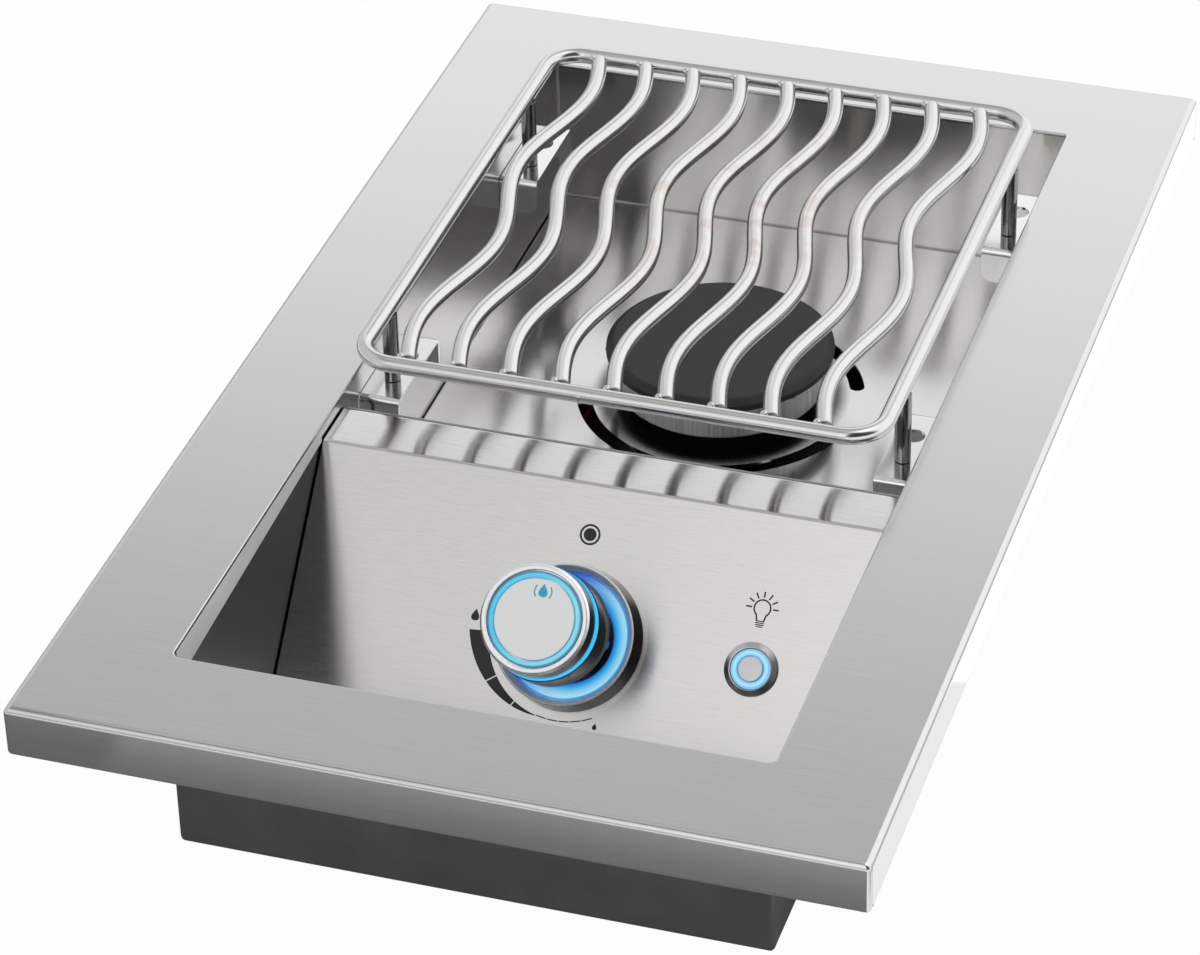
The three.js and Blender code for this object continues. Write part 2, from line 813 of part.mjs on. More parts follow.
function bezelLightRing() {
  const foot = bezelRadius - bezelFootWall - seatGap;
  const rim = bezelDishRadius - seatGap;
  const top = bezelDishHeight - seatGap * 2;
  return turned([
    [glowRingInner, seatGap], [foot, seatGap], [rim - seatGap / 2, top],
    [rim - glowRingWall, top], [foot - glowRingWall, seatGap + glowRingFloor],
    [glowRingInner, seatGap + glowRingFloor],
  ], knobSides);
}

// Knob, in the panel's frame

function knobCap() {
  const base = knobHeight - knobCapHeight;
  const recess = faceLightRadius + slideGap;
  return turned([
    [0, base], [knobCapRadius, base], [knobCapRadius, knobHeight - knobCapRound],
    [knobCapRadius - knobCapRound, knobHeight], [recess, knobHeight],
    [recess, knobHeight - knobRecess], [0, knobHeight - knobRecess],
  ], knobSides);
}

function knobFaceLight() {
  const [inner, top] = [faceLightRadius - faceLightWidth, knobHeight - faceLightSink];
  const base = knobHeight - knobRecess + seatGap;
  return turned(
    [[inner, base], [faceLightRadius, base], [faceLightRadius, top], [inner, top]], knobSides);
}

function knobFaceDisc() {
  const radius = faceLightRadius - faceLightWidth - slideGap;
  const [base, top] = [knobHeight - knobRecess + seatGap, knobHeight - faceDiscSink];
  return turned([[0, base], [radius, base], [radius, top], [0, top]], knobSides);
}

function knobSideLight() {
  const top = knobHeight - knobCapHeight - seatGap;
  const outer = knobRadius - knobLightInset;
  const base = top - knobLightHeight + seatGap;
  const inner = outer - knobLightWall;
  return turned([[inner, base], [outer, base], [outer, top], [inner, top]], knobSides);
}

function knobSkirt() {
  const top = knobHeight - knobCapHeight - knobLightHeight - seatGap;
  const base = top - knobSkirtHeight;
  const collar = knobRadius - knobLightInset - knobLightWall - slideGap;
  const collarTop = knobHeight - knobCapHeight - seatGap;
  const bore = stemRadius + slideGap;
  return turned([
    [0, collarTop], [collar, collarTop], [collar, top], [knobRadius, top],
    [knobRadius, base + knobCapRound], [knobRadius - knobCapRound, base], [knobHub, base],
    [knobHub, hubBase], [bore, hubBase], [bore, hubBase + stemInKnob], [0, hubBase + stemInKnob],
  ], knobSides);
}

// Gas valve, in the panel's frame but for its body

function valveStem() {
  const [base, top] = [blockTop, hubBase + stemInKnob - seatGap];
  return turned([[0, base], [stemRadius, base], [stemRadius, top], [0, top]], smallSides);
}

function springSeat() {
  const [base, top] = [springSeatHeight, springSeatHeight + springSeatThick];
  const inner = stemRadius + slideGap;
  return turned(
    [[inner, base], [springSeatOuter, base], [springSeatOuter, top], [inner, top]], smallSides);
}

function stemSpring() {
  const base = seatGap + springWire;
  const rise = springSeatHeight - seatGap - springWire - base;
  const steps = springTurns * coilSteps;
  const path = Array.from({ length: steps + 1 }, (_, i) => {
    const angle = (i / coilSteps) * Math.PI * 2;
    return [springRadius * Math.cos(angle), springRadius * Math.sin(angle), base + rise * i / steps];
  });
  const pitch = rise / springTurns;
  const gap = pitch - springWire * 2;
  console.log(`least gap in the stem spring: ${gap.toFixed(2)} mm`);
  return sweep(path, springWire, { sides: coilSides });
}

function valveBonnet() {
  const base = valveTop - bonnetLength;
  const bore = stemRadius + slideGap;
  const body = turned([
    [bore, base], [bonnetNeck, base], [bonnetNeck, valveTop - bonnetFlangeThick],
    [bonnetFlange, valveTop - bonnetFlangeThick], [bonnetFlange, valveTop], [bore, valveTop],
  ], smallSides);
  const holes = [-1, 1].map((side) => (
    rod('z', valveScrewShank + holeGap, bonnetFlangeThick + overrun * 2, holeSides)
      .translate(side * valveScrewSpread, 0, valveTop - bonnetFlangeThick / 2)
  ));
  return cut(body, holes);
}

function valveScrew(side) {
  const [base, end] = [seatGap / 2, valveTop - bonnetFlangeThick];
  return turned([
    [0, base + valveScrewHeight], [valveScrewFlat, base + valveScrewHeight],
    [valveScrewHead, base + valveScrewRim], [valveScrewHead, base], [valveScrewShank, base],
    [valveScrewShank, end], [0, end],
  ], holeSides).translate(side * valveScrewSpread, 0, 0);
}

// The valve's inlet and outlet lie level, under the floor's height, whatever the panel's slope.
const outletY = fromPanel(0, blockTop - valveDepth / 2)[0] + outletLength;
const inletUp = (underFloor - controlZ + inletDepth * slopeCos) / slopeSin;
const [inletY] = fromPanel(inletUp, -inletDepth);
const inletX = valveBlock / 2 + inletReach;

function valveBody() {
  const block = new THREE.BoxGeometry(valveBlock, valveBlock, valveDepth)
    .translate(0, 0, blockTop - valveDepth / 2).applyMatrix4(panelFrame);
  const outlet = rod('y', outletRadius, outletLength, smallSides)
    .translate(0, outletY - outletLength / 2, underFloor);
  const inlet = rod('x', outletRadius, inletX, smallSides).translate(inletX / 2, inletY, underFloor);
  const plug = stemRadius + slideGap;
  const stemBore = rod('z', plug, stemBoreDepth + overrun, smallSides)
    .translate(0, 0, blockTop - stemBoreDepth / 2 + overrun / 2).applyMatrix4(panelFrame);
  const outletBoreRod = rod('y', outletBore, outletLength, holeSides)
    .translate(0, outletY - outletLength / 2 + overrun, underFloor);
  const inletBoreRod = rod('x', outletBore, inletX, holeSides)
    .translate(inletX / 2 + overrun, inletY, underFloor);
  return cut(join([block, outlet, inlet]), [stemBore, outletBoreRod, inletBoreRod]);
}

function gasOrifice() {
  const spud = turned([
    [orificeBore, 0], [orificeBase, 0], [orificeBase, orificeHex], [orificeTip, orificeLength],
    [orificeBore, orificeLength],
  ], holeSides);
  return spud.rotateX(-Math.PI / 2).translate(0, outletY + seatGap, underFloor);
}

// Mixer tube and its shutter

const mixerStart = outletY + seatGap + orificeLength + orificeToMixer;

// Two windows in the sides, where the air comes in.
function airWindows(reach) {
  const box = new THREE.BoxGeometry(reach * 2, shutterWindow, mixerRadius);
  return box.translate(0, mixerStart + shutterWindow, underFloor);
}

function mixerTube() {
  const top = headBase - mixerInHead;
  const corners = [[0, mixerStart, underFloor], [0, burnerY, underFloor], [0, burnerY, top]];
  const tube = sweep(roundedPath(corners, mixerBend), mixerRadius,
    { bore: mixerRadius - mixerWall, sides: frameSides });
  return cut(tube, [airWindows(mixerRadius + overrun)]);
}

function airShutter() {
  const inner = mixerRadius + slideGap;
  const outer = inner + shutterWall;
  const sleeve = turned(
    [[inner, 0], [outer, 0], [outer, shutterLength], [inner, shutterLength]], smallSides,
  ).rotateX(-Math.PI / 2).translate(0, mixerStart, underFloor);
  return cut(sleeve, [airWindows(outer + overrun)]);
}

// Burner

function burnerBase() {
  const bore = mixerRadius + slideGap;
  const plateTop = headBase - seatGap;
  const plateBase = plateTop - basePlate;
  const footBase = floorTop + seatGap;
  const plate = turned([
    [bore, footBase], [baseNeck, footBase], [baseNeck, plateBase], [baseRadius, plateBase],
    [baseRadius, plateTop], [bore, plateTop],
  ], smallSides);
  const height = plateBase - footBase + basePlate / 2;
  const middle = footBase + height / 2;
  const feet = feetPlaces().flatMap(([x, y]) => [
    rod('z', baseFootRadius, height, holeSides).translate(x, y, middle),
    rod('z', studRadius, studLength, holeSides).translate(x, y, middle - studLength / 2),
  ]);
  return join([plate.translate(0, burnerY, 0), ...feet]);
}

function burnerHead() {
  const inner = headRadius - headWall;
  const bowl = turned([
    [headMouth, headBase], [headRadius - headEdge, headBase], [headRadius, headBase + headEdge],
    [headRadius, headTop], [inner, headTop], [inner, headBase + headFloor],
    [headMouth, headBase + headFloor],
  ], burnerSides);
  const reach = headWall + overrun * 2;
  const port = (k) => (
    new THREE.BoxGeometry(reach, portWidth, portDepth + overrun)
      .translate(headRadius - headWall / 2, 0, headTop - portDepth / 2 + overrun / 2)
      .rotateZ(k / portCount * Math.PI * 2)
  );
  const ports = together(Array.from({ length: portCount }, (_, k) => port(k)));
  return cut(bowl, [ports]).translate(0, burnerY, 0);
}

function burnerCap() {
  const spigot = headRadius - headWall - seatGap * 2;
  const hollow = capBase + capHollow;
  return turned([
    [0, capTop], [capRadius - capBevel, capTop], [capRadius - capShoulder, capTop - capShoulderDrop],
    [capRadius, capTop - capRim], [capRadius, capBase + capUnderEdge],
    [capRadius - capUnderEdge, capBase], [spigot, capBase], [spigot, capBase - capSpigot],
    [spigot - capSpigotWall, capBase - capSpigot], [spigot - capSpigotWall, hollow], [0, hollow],
  ], burnerSides).translate(0, burnerY, 0);
}

// Igniter, its module and its lead

function igniterBody() {
  const base = floorTop - igniterBelow;
  const collar = floorTop + seatGap;
  return turned([
    [0, base], [igniterRadius, base], [igniterRadius, collar], [igniterCollar, collar],
    [igniterCollar, collar + igniterCollarThick], [igniterRadius, collar + igniterCollarThick],
    [igniterRadius, floorTop + igniterAbove], [0, floorTop + igniterAbove],
  ], holeSides).translate(0, igniterY, 0);
}

function igniterElectrode() {
  const base = floorTop + igniterAbove + seatGap;
  const bend = base + electrodeStraight;
  return sweep([
    [0, igniterY, base], [0, igniterY, bend], [0, igniterY - electrodeReach, bend + electrodeRise],
  ], electrodeRadius, { sides: rodSides });
}

function sparkModule() {
  const shape = new THREE.Shape();
  const [halfX, halfY, edge] = [moduleWidth / 2, moduleDepth / 2, moduleEdge];
  shape.absarc(halfX - edge, halfY - edge, edge, 0, Math.PI / 2, false);
  shape.absarc(edge - halfX, halfY - edge, edge, Math.PI / 2, Math.PI, false);
  shape.absarc(edge - halfX, edge - halfY, edge, Math.PI, Math.PI * 3 / 2, false);
  shape.absarc(halfX - edge, edge - halfY, edge, Math.PI * 3 / 2, Math.PI * 2, false);
  const settings = { depth: moduleHeight, bevelEnabled: false, curveSegments: bendSteps };
  const middleY = stripRear - moduleBehindStrip - halfY;
  return new THREE.ExtrudeGeometry(shape, settings).translate(moduleX, middleY, sheet + seatGap);
}

function ignitionLead() {
  const end = floorTop - igniterBelow - seatGap;
  const corners = [
    [leadX, stripRear - moduleBehindStrip + seatGap, leadHeight],
    [leadX, igniterY - leadTurnBefore, leadHeight],
    [0, igniterY, leadHeight],
    [0, igniterY, end],
  ];
  return sweep(roundedPath(corners, leadBend), leadRadius);
}

function lightLead() {
  const start = openHalfY - seatGap - socketInside - seatGap;
  const [endY, endZ] = fromPanel(0, -switchLength - terminalLength - seatGap * 2);
  const [bendY, bendZ] = [endY + lightLeadDrop * slopeSin, endZ - lightLeadDrop * slopeCos];
  const corners = [
    [socketX, start, underFloor],
    [socketX, stripRear - lightLeadTurn, underFloor],
    [switchX, bendY, bendZ],
    [switchX, endY, endZ],
  ];
  return sweep(roundedPath(corners, leadBend), leadRadius);
}

// Supply tube and what comes through the back wall

function supplyTube() {
  const end = openHalfY - fittingShankLength - seatGap;
  const corners = [
    [inletX + seatGap, inletY, underFloor], [supplyX, inletY, underFloor], [supplyX, end, underFloor],
  ];
  return sweep(roundedPath(corners, supplyBend), supplyRadius,
    { bore: supplyRadius - supplyWall, sides: frameSides });
}

function gasInletFitting() {
  const inside = -fittingShankLength - sheet - seatGap;
  const flareBase = fittingHexLength;
  const shank = turned([
    [fittingBore, inside], [fittingShank, inside], [fittingShank, overrun], [fittingBore, overrun],
  ], smallSides);
  const flare = turned([
    [fittingBore, flareBase - overrun], [fittingFlare, flareBase - overrun],
    [fittingFlare, flareBase + fittingFlareLength], [fittingBore, flareBase + fittingFlareLength],
  ], smallSides);
  const bore = rod('z', fittingBore, fittingHexLength + overrun * 2, smallSides);
  const hex = cut(hexBar(fittingHex, fittingHexLength), [bore]).translate(0, 0, fittingHexLength / 2);
  const outerFace = boxRear + seatGap;
  return join([shank, hex, flare]).rotateX(-Math.PI / 2).translate(supplyX, outerFace, underFloor);
}

function lockNut() {
  const bore = rod('z', fittingShank + slideGap, lockNutLength + overrun * 2, smallSides);
  const nut = cut(hexBar(lockNutHex, lockNutLength), [bore]).rotateX(-Math.PI / 2);
  return nut.translate(supplyX, openHalfY - seatGap - lockNutLength / 2, underFloor);
}

function powerSocket() {
  const outer = boxRear + seatGap;
  const inner = openHalfY - seatGap;
  const face = outer + socketFlangeThick;
  return turned([
    [0, inner - socketInside], [socketBody, inner - socketInside], [socketBody, inner],
    [socketRadius, inner], [socketRadius, outer], [socketFlange, outer], [socketFlange, face],
    [socketBore, face], [socketBore, face - socketBoreDepth], [0, face - socketBoreDepth],
  ], smallSides).rotateX(-Math.PI / 2).translate(socketX, 0, underFloor);
}

// Light switch, in the panel's frame about its own axis

function switchBezel() {
  const rim = switchBore + switchRim / 2;
  return turned([
    [0, -switchLength], [switchBarrel, -switchLength], [switchBarrel, seatGap], [switchRadius, seatGap],
    [switchRadius, seatGap + switchRim], [rim, switchHeight], [switchBore, switchHeight],
    [switchBore, -switchBoreDepth], [0, -switchBoreDepth],
  ], switchSides);
}

function switchNut() {
  const bore = rod('z', switchBarrel + slideGap, switchNutLength + overrun * 2, smallSides);
  const nut = cut(hexBar(switchNutHex, switchNutLength), [bore]);
  return nut.translate(0, 0, valveTop - switchNutLength / 2);
}

function switchButton() {
  const radius = switchBore - slideGap;
  return turned([
    [0, -buttonDepth], [radius, -buttonDepth], [radius, buttonBase], [buttonCentre, buttonBase],
    [buttonCentre, buttonTop - seatGap / 2], [buttonCentre - seatGap, buttonTop], [0, buttonTop],
  ], switchSides);
}

function switchLight() {
  const [inner, outer] = [buttonCentre + slideGap, switchBore - slideGap];
  const base = buttonBase + seatGap;
  return turned(
    [[inner, base], [outer, base], [outer, switchLightTop], [inner, switchLightTop]], switchSides);
}

function switchTerminals() {
  const top = -switchLength - seatGap;
  const block = rod('z', switchBarrel - terminalThick, terminalThick * 2);
  block.translate(0, 0, top - terminalThick);
  const blades = Array.from({ length: terminalCount }, (_, k) => (
    new THREE.BoxGeometry(terminalWidth, terminalThick, terminalLength)
      .translate(0, terminalRing, top - terminalThick - terminalLength / 2)
      .rotateZ((k + 1 / 2) / terminalCount * Math.PI * 2)
  ));
  return join([block, ...blades]);
}

// Grate

function grateFrame() {
  const corners = [
    [grateHalfX, grateFront, grateZ], [grateHalfX, grateRear, grateZ],
    [-grateHalfX, grateRear, grateZ], [-grateHalfX, grateFront, grateZ],
  ];
  return sweep(roundedPath(corners, grateCorner, true), rodRadius, { closed: true, sides: frameSides });
}

function wavyRod(x) {
  const start = grateFront + rodRadius + seatGap;
  const end = grateRear - rodRadius - seatGap;
  const peak = grateRear - wavePeakFromRear;
  const path = Array.from({ length: wavySteps + 1 }, (_, i) => {
    const y = start + (end - start) * i / wavySteps;
    const wave = waveHeight * Math.cos((y - peak) / waveLength * Math.PI * 2);
    return [x - waveShift + wave, y, grateZ];
  });
  const rodMesh = sweep(path, rodRadius);
  const slab = (y) => (
    new THREE.BoxGeometry(wavyPitch, grateRod, grateRod * 2).translate(x, y, grateZ)
  );
  return cut(rodMesh, [slab(start - rodRadius), slab(end + rodRadius)]);
}

function grateLeg() {
  const base = bracketTop + seatGap;
  const length = grateZ - rodRadius - seatGap - base;
  return rod('z', legRod / 2, length, frameSides).translate(0, 0, base + length / 2);
}

// Assembly

const sideBurner = new THREE.Group();
const controls = new THREE.Group();
controls.position.set(0, controlY, controlZ);
controls.rotation.x = THREE.MathUtils.degToRad(panelSlope);
const lightSwitch = new THREE.Group();
lightSwitch.position.x = switchX;
controls.add(lightSwitch);
const grate = new THREE.Group();
sideBurner.add(controls, grate);

function add(name, geometry, material, parent = sideBurner) {
  const mesh = new THREE.Mesh(sealed(geometry), material);
  mesh.name = name;
  parent.add(mesh);
  return mesh;
}

add('trim_frame', trimFrame(), brushed);
add('fire_box', fireBox(), darkSheet);
add('burner_floor', burnerFloor(), brushed);
add('divider_plate', dividerPlate(), galvanised);
add('floor_rail_left', floorRail(-1), galvanised);
add('floor_rail_right', floorRail(1), galvanised);
for (const [end, front] of [['front', bracketFrontStart], ['rear', bracketRearStart]]) {
  for (const [hand, side] of [['left', -1], ['right', 1]]) {
    add(`grate_bracket_${end}_${hand}`, grateBracket(side, front), brushed);
    const leg = add(`grate_leg_${end}_${hand}`, grateLeg(), polished, grate);
    leg.position.set(side * grateHalfX, front + footInset, 0);
  }
}
add('control_panel', controlPanel(), brushed);
add('knob_bezel', knobBezel(), polished, controls);
add('bezel_light_ring', bezelLightRing(), blueGlow, controls);
add('knob_cap', knobCap(), polished, controls);
add('knob_face_light', knobFaceLight(), blueGlow, controls);
add('knob_face_disc', knobFaceDisc(), brushed, controls);
add('knob_side_light', knobSideLight(), blueGlow, controls);
add('knob_skirt', knobSkirt(), darkChrome, controls);
add('valve_stem', valveStem(), brass, controls);
add('stem_spring_seat', springSeat(), springSteel, controls);
add('stem_spring', stemSpring(), springSteel, controls);
add('valve_bonnet', valveBonnet(), castAluminium, controls);
add('valve_screw_left', valveScrew(-1), polished, controls);
add('valve_screw_right', valveScrew(1), polished, controls);
add('valve_body', valveBody(), brass);
add('gas_orifice', gasOrifice(), brass);
add('mixer_tube', mixerTube(), galvanised);
add('air_shutter', airShutter(), galvanised);
add('burner_base', burnerBase(), castAluminium);
add('burner_head', burnerHead(), brushed);
add('burner_cap', burnerCap(), blackEnamel);
add('igniter_body', igniterBody(), ceramic);
add('igniter_electrode', igniterElectrode(), springSteel);
add('spark_module', sparkModule(), blackPlastic);
add('ignition_lead', ignitionLead(), redLead);
add('supply_tube', supplyTube(), castAluminium);
add('gas_inlet_fitting', gasInletFitting(), brass);
add('gas_inlet_lock_nut', lockNut(), brass);
add('light_power_socket', powerSocket(), blackPlastic);
add('light_lead', lightLead(), blackPlastic);
add('switch_bezel', switchBezel(), darkChrome, lightSwitch);
add('switch_nut', switchNut(), galvanised, lightSwitch);
add('switch_button', switchButton(), brushed, lightSwitch);
add('switch_light_ring', switchLight(), blueGlow, lightSwitch);
add('switch_terminals', switchTerminals(), brass, lightSwitch);
add('grate_frame', grateFrame(), polished, grate);
for (let k = 0; k < wavyRods; k++) {
  add(`grate_rod_${k + 1}`, wavyRod((k - (wavyRods - 1) / 2) * wavyPitch), polished, grate);
}

export default sideBurner;
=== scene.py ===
import math
import bpy
import bmesh
from mathutils import Matrix, Vector, Quaternion


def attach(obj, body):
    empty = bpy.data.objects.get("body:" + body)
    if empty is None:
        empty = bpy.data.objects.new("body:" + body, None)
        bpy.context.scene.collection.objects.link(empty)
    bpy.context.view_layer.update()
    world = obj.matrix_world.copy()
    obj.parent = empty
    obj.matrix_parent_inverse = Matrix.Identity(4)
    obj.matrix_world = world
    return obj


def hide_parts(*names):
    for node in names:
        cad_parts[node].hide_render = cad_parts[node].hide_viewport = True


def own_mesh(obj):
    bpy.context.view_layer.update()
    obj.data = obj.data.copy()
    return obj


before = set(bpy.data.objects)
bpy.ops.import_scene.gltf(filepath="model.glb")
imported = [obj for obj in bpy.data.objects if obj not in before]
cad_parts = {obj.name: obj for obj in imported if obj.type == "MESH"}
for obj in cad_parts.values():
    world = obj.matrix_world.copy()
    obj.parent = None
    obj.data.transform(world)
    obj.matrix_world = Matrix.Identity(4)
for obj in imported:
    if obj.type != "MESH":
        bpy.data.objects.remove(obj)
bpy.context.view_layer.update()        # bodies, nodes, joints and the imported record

mm = 0.001
scene = bpy.context.scene
print("side burner: frame loaded,", len(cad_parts), "CAD nodes")


# camera, solved from the photo
camera = {
    "place": (522.2, -1630.16, 1219.99),     # mm
    "azimuth": 18.59, "elevation": 34.62, "roll": -1.55,
    "lens": 141.09, "sensor": 36.0,
}


def cameraAxes(azimuth, elevation, roll):
    sa, ca = math.sin(math.radians(azimuth)), math.cos(math.radians(azimuth))
    se, ce = math.sin(math.radians(elevation)), math.cos(math.radians(elevation))
    back = Vector((sa * ce, -ca * ce, se))
    right = Vector((ca, sa, 0))
    up = back.cross(right)
    s, c = math.sin(math.radians(roll)), math.cos(math.radians(roll))
    return right * c + up * s, up * c - right * s, back


def makeCamera():
    data = bpy.data.cameras.new("photoCamera")
    data.lens, data.sensor_width = camera["lens"], camera["sensor"]
    data.clip_start, data.clip_end = 0.05, 60
    obj = bpy.data.objects.new("photoCamera", data)
    scene.collection.objects.link(obj)
    axes = cameraAxes(camera["azimuth"], camera["elevation"], camera["roll"])
    turn = Matrix([[axis[i] for axis in axes] for i in range(3)]).to_4x4()
    obj.matrix_world = Matrix.Translation(Vector(camera["place"]) * mm) @ turn
    scene.camera = obj


makeCamera()


# mesh tools
def arc(centre, radius, start, end, steps):
    turns = [math.radians(start + (end - start) * i / steps) for i in range(steps + 1)]
    return [(centre[0] + radius * math.cos(a), centre[1] + radius * math.sin(a)) for a in turns]


def softened(outline, radii, steps=4, closed=True):
    # rounds each corner of a flat outline by its own radius; an open outline keeps its two ends
    points = [Vector(p) for p in outline]
    count = len(points)
    made = []
    for i, (corner, r) in enumerate(zip(points, radii)):
        before, after = points[i - 1] - corner, points[(i + 1) % count] - corner
        angle = before.angle(after)
        if r <= 0 or (not closed and i in (0, count - 1)) or angle > math.radians(176):
            made.append(tuple(corner))
            continue
        reach = min(r / math.tan(angle / 2), before.length * 0.49, after.length * 0.49)
        r = reach * math.tan(angle / 2)
        towards, away = before.normalized(), after.normalized()
        start, end = corner + towards * reach, corner + away * reach
        centre = corner + (towards + away).normalized() * (r / math.sin(angle / 2))
        for k in range(steps + 1):
            spoke = (start - centre).slerp(end - centre, k / steps)     # of length 1
            made.append(tuple(centre + spoke * r))
    return made


def lathe(outline, sides):
    # turns an outline of (radius, height) about Z; it closes on the axis or on itself
    verts, rings = [], []
    for r, z in outline:
        if r < 1e-6:
            rings.append([len(verts)])
            verts.append((0, 0, z))
            continue
        rings.append(list(range(len(verts), len(verts) + sides)))
        for k in range(sides):
            angle = 2 * math.pi * k / sides
            verts.append((r * math.cos(angle), r * math.sin(angle), z))
    pairs = list(zip(rings, rings[1:]))
    if outline[0][0] > 1e-6:
        pairs.append((rings[-1], rings[0]))
    faces = []
    for low, high in pairs:
        if len(low) == 1 and len(high) == 1:
            continue
        for k in range(sides):
            j = (k + 1) % sides
            if len(low) == 1:
                faces.append((low[0], high[j], high[k]))
            elif len(high) == 1:
                faces.append((low[k], low[j], high[0]))
            else:
                faces.append((low[k], low[j], high[j], high[k]))
    return verts, faces


def loft(rings, closed=False):
    count = len(rings[0])
    verts = [p for ring in rings for p in ring]
    faces = []
    for row in range(len(rings) if closed else len(rings) - 1):
        far = (row + 1) % len(rings)
        for i in range(count):
            j = (i + 1) % count
            faces.append((row * count + i, row * count + j, far * count + j, far * count + i))
    if not closed:
        faces.append(tuple(reversed(range(count))))
        faces.append(tuple(range((len(rings) - 1) * count, len(rings) * count)))
    return verts, faces


def sweep(path, radius, sides, closed=False):
    # a round rod along a path
    points = [Vector(p) for p in path]
    count = len(points)
    tangents = []
    for i in range(count):
        before = points[i - 1] if closed else points[max(i - 1, 0)]
        after = points[(i + 1) % count] if closed else points[min(i + 1, count - 1)]
        tangents.append((after - before).normalized())
    up = Vector((1, 0, 0)) if abs(tangents[0].z) > 0.7 else Vector((0, 0, 1))
    side = up.cross(tangents[0]).normalized()
    turns = [2 * math.pi * k / sides for k in range(sides)]
    rings = []
    for i, (point, tangent) in enumerate(zip(points, tangents)):
        if i:
            side = tangents[i - 1].rotation_difference(tangent) @ side
            side = (side - tangent * side.dot(tangent)).normalized()
        x, y = side * radius, tangent.cross(side) * radius
        rings.append([tuple(point + x * math.cos(a) + y * math.sin(a)) for a in turns])
    return loft(rings, closed)


def roundedPath(corners, radius, steps):
    # a closed path whose corners are all rounded by one radius
    points = [Vector(c) for c in corners]
    made = []
    for i, corner in enumerate(points):
        before = (points[i - 1] - corner).normalized()
        after = (points[(i + 1) % len(points)] - corner).normalized()
        half = before.angle(after) / 2
        centre = corner + (before + after).normalized() * (radius / math.sin(half))
        start = corner + before * (radius / math.tan(half)) - centre
        end = corner + after * (radius / math.tan(half)) - centre
        axis = start.cross(end).normalized()
        made += [centre + Quaternion(axis, start.angle(end) * k / steps) @ start for k in range(steps + 1)]
    return made


def roundedRing(halfX, front, rear, z, cornerFront, cornerRear, steps=8):
    corners = [
        (halfX - cornerRear, rear - cornerRear, cornerRear),
        (cornerRear - halfX, rear - cornerRear, cornerRear),
        (cornerFront - halfX, front + cornerFront, cornerFront),
        (halfX - cornerFront, front + cornerFront, cornerFront),
    ]
    ring = []
    for quarter, (x, y, r) in enumerate(corners):
        ring += [(px, py, z) for px, py in arc((x, y), r, quarter * 90, quarter * 90 + 90, steps)]
    return ring


def quarterShares(steps):
    # how far round and how far up a quarter circle goes, step by step, as shares of its radius
    turns = [math.pi / 2 * i / steps for i in range(steps + 1)]
    return [(math.sin(a), math.cos(a)) for a in turns]


def folded(corners, thickness, side, inner, steps=8):
    # the two lines of a folded sheet's section: its face, and its back on the given side
    points = [Vector(c) for c in corners]
    face, back = [], []

    def put(point, normal):
        face.append(tuple(point))
        back.append(tuple(point + normal * thickness))

    def normalOf(d):
        return Vector((-d.y, d.x)) * side

    for i, corner in enumerate(points):
        if i == 0 or i == len(points) - 1:
            d = (points[1] - corner) if i == 0 else (corner - points[i - 1])
            put(corner, normalOf(d.normalized()))
            continue
        into = (corner - points[i - 1]).normalized()
        out = (points[i + 1] - corner).normalized()
        turn = math.atan2(into.x * out.y - into.y * out.x, into.dot(out))
        radius = inner + thickness if turn * side > 0 else inner
        start = corner - into * (radius * math.tan(abs(turn) / 2))
        centre = start + Vector((-into.y, into.x)) * math.copysign(radius, turn)
        for k in range(steps + 1):
            angle = turn * k / steps
            rot = Matrix.Rotation(angle, 2)
            put(centre + rot @ (start - centre), normalOf(rot @ into))
    return face, back


def sheetAlong(lines, place):
    # a folded section run from one end to the other; place(point, end) gives the corner in mm
    face, back = lines
    outline = face + back[::-1]
    count = len(outline)
    verts = [place(p, 0) for p in outline] + [place(p, 1) for p in outline]
    faces = [(i, (i + 1) % count, count + (i + 1) % count, count + i) for i in range(count)]
    for i in range(len(face) - 1):
        a, b, c, d = i, i + 1, count - 2 - i, count - 1 - i
        faces.append((a, d, c, b))
        faces.append((count + a, count + b, count + c, count + d))
    return verts, faces


def prism(outline, low, high, place=lambda p, h: (p[0], p[1], h)):
    count = len(outline)
    verts = [place(p, low) for p in outline] + [place(p, high) for p in outline]
    faces = [(i, (i + 1) % count, count + (i + 1) % count, count + i) for i in range(count)]
    faces += [tuple(reversed(range(count))), tuple(range(count, 2 * count))]
    return verts, faces


def circle(radius, sides, centre=(0, 0)):
    turns = [2 * math.pi * k / sides for k in range(sides)]
    return [(centre[0] + radius * math.cos(a), centre[1] + radius * math.sin(a)) for a in turns]


def moved(mesh, matrix):
    verts, faces = mesh
    return [tuple(matrix @ Vector(v)) for v in verts], faces


def merged(meshes):
    verts, faces = [], []
    for v, f in meshes:
        start = len(verts)
        verts += list(v)
        faces += [tuple(i + start for i in face) for face in f]
    return verts, faces


def meshData(name, mesh, sharp):
    verts, faces = mesh
    data = bpy.data.meshes.new(name)
    data.from_pydata([tuple(c * mm for c in v) for v in verts], [], faces)
    work = bmesh.new()
    work.from_mesh(data)
    bmesh.ops.remove_doubles(work, verts=work.verts, dist=1e-7)
    bmesh.ops.dissolve_degenerate(work, edges=work.edges, dist=1e-8)
    bmesh.ops.recalc_face_normals(work, faces=work.faces)
    work.to_mesh(data)
    work.free()
    smooth(data, sharp)
    return data


def smooth(data, sharp):
    data.polygons.foreach_set("use_smooth", [True] * len(data.polygons))
    data.set_sharp_from_angle(angle=math.radians(sharp))
    data.update()


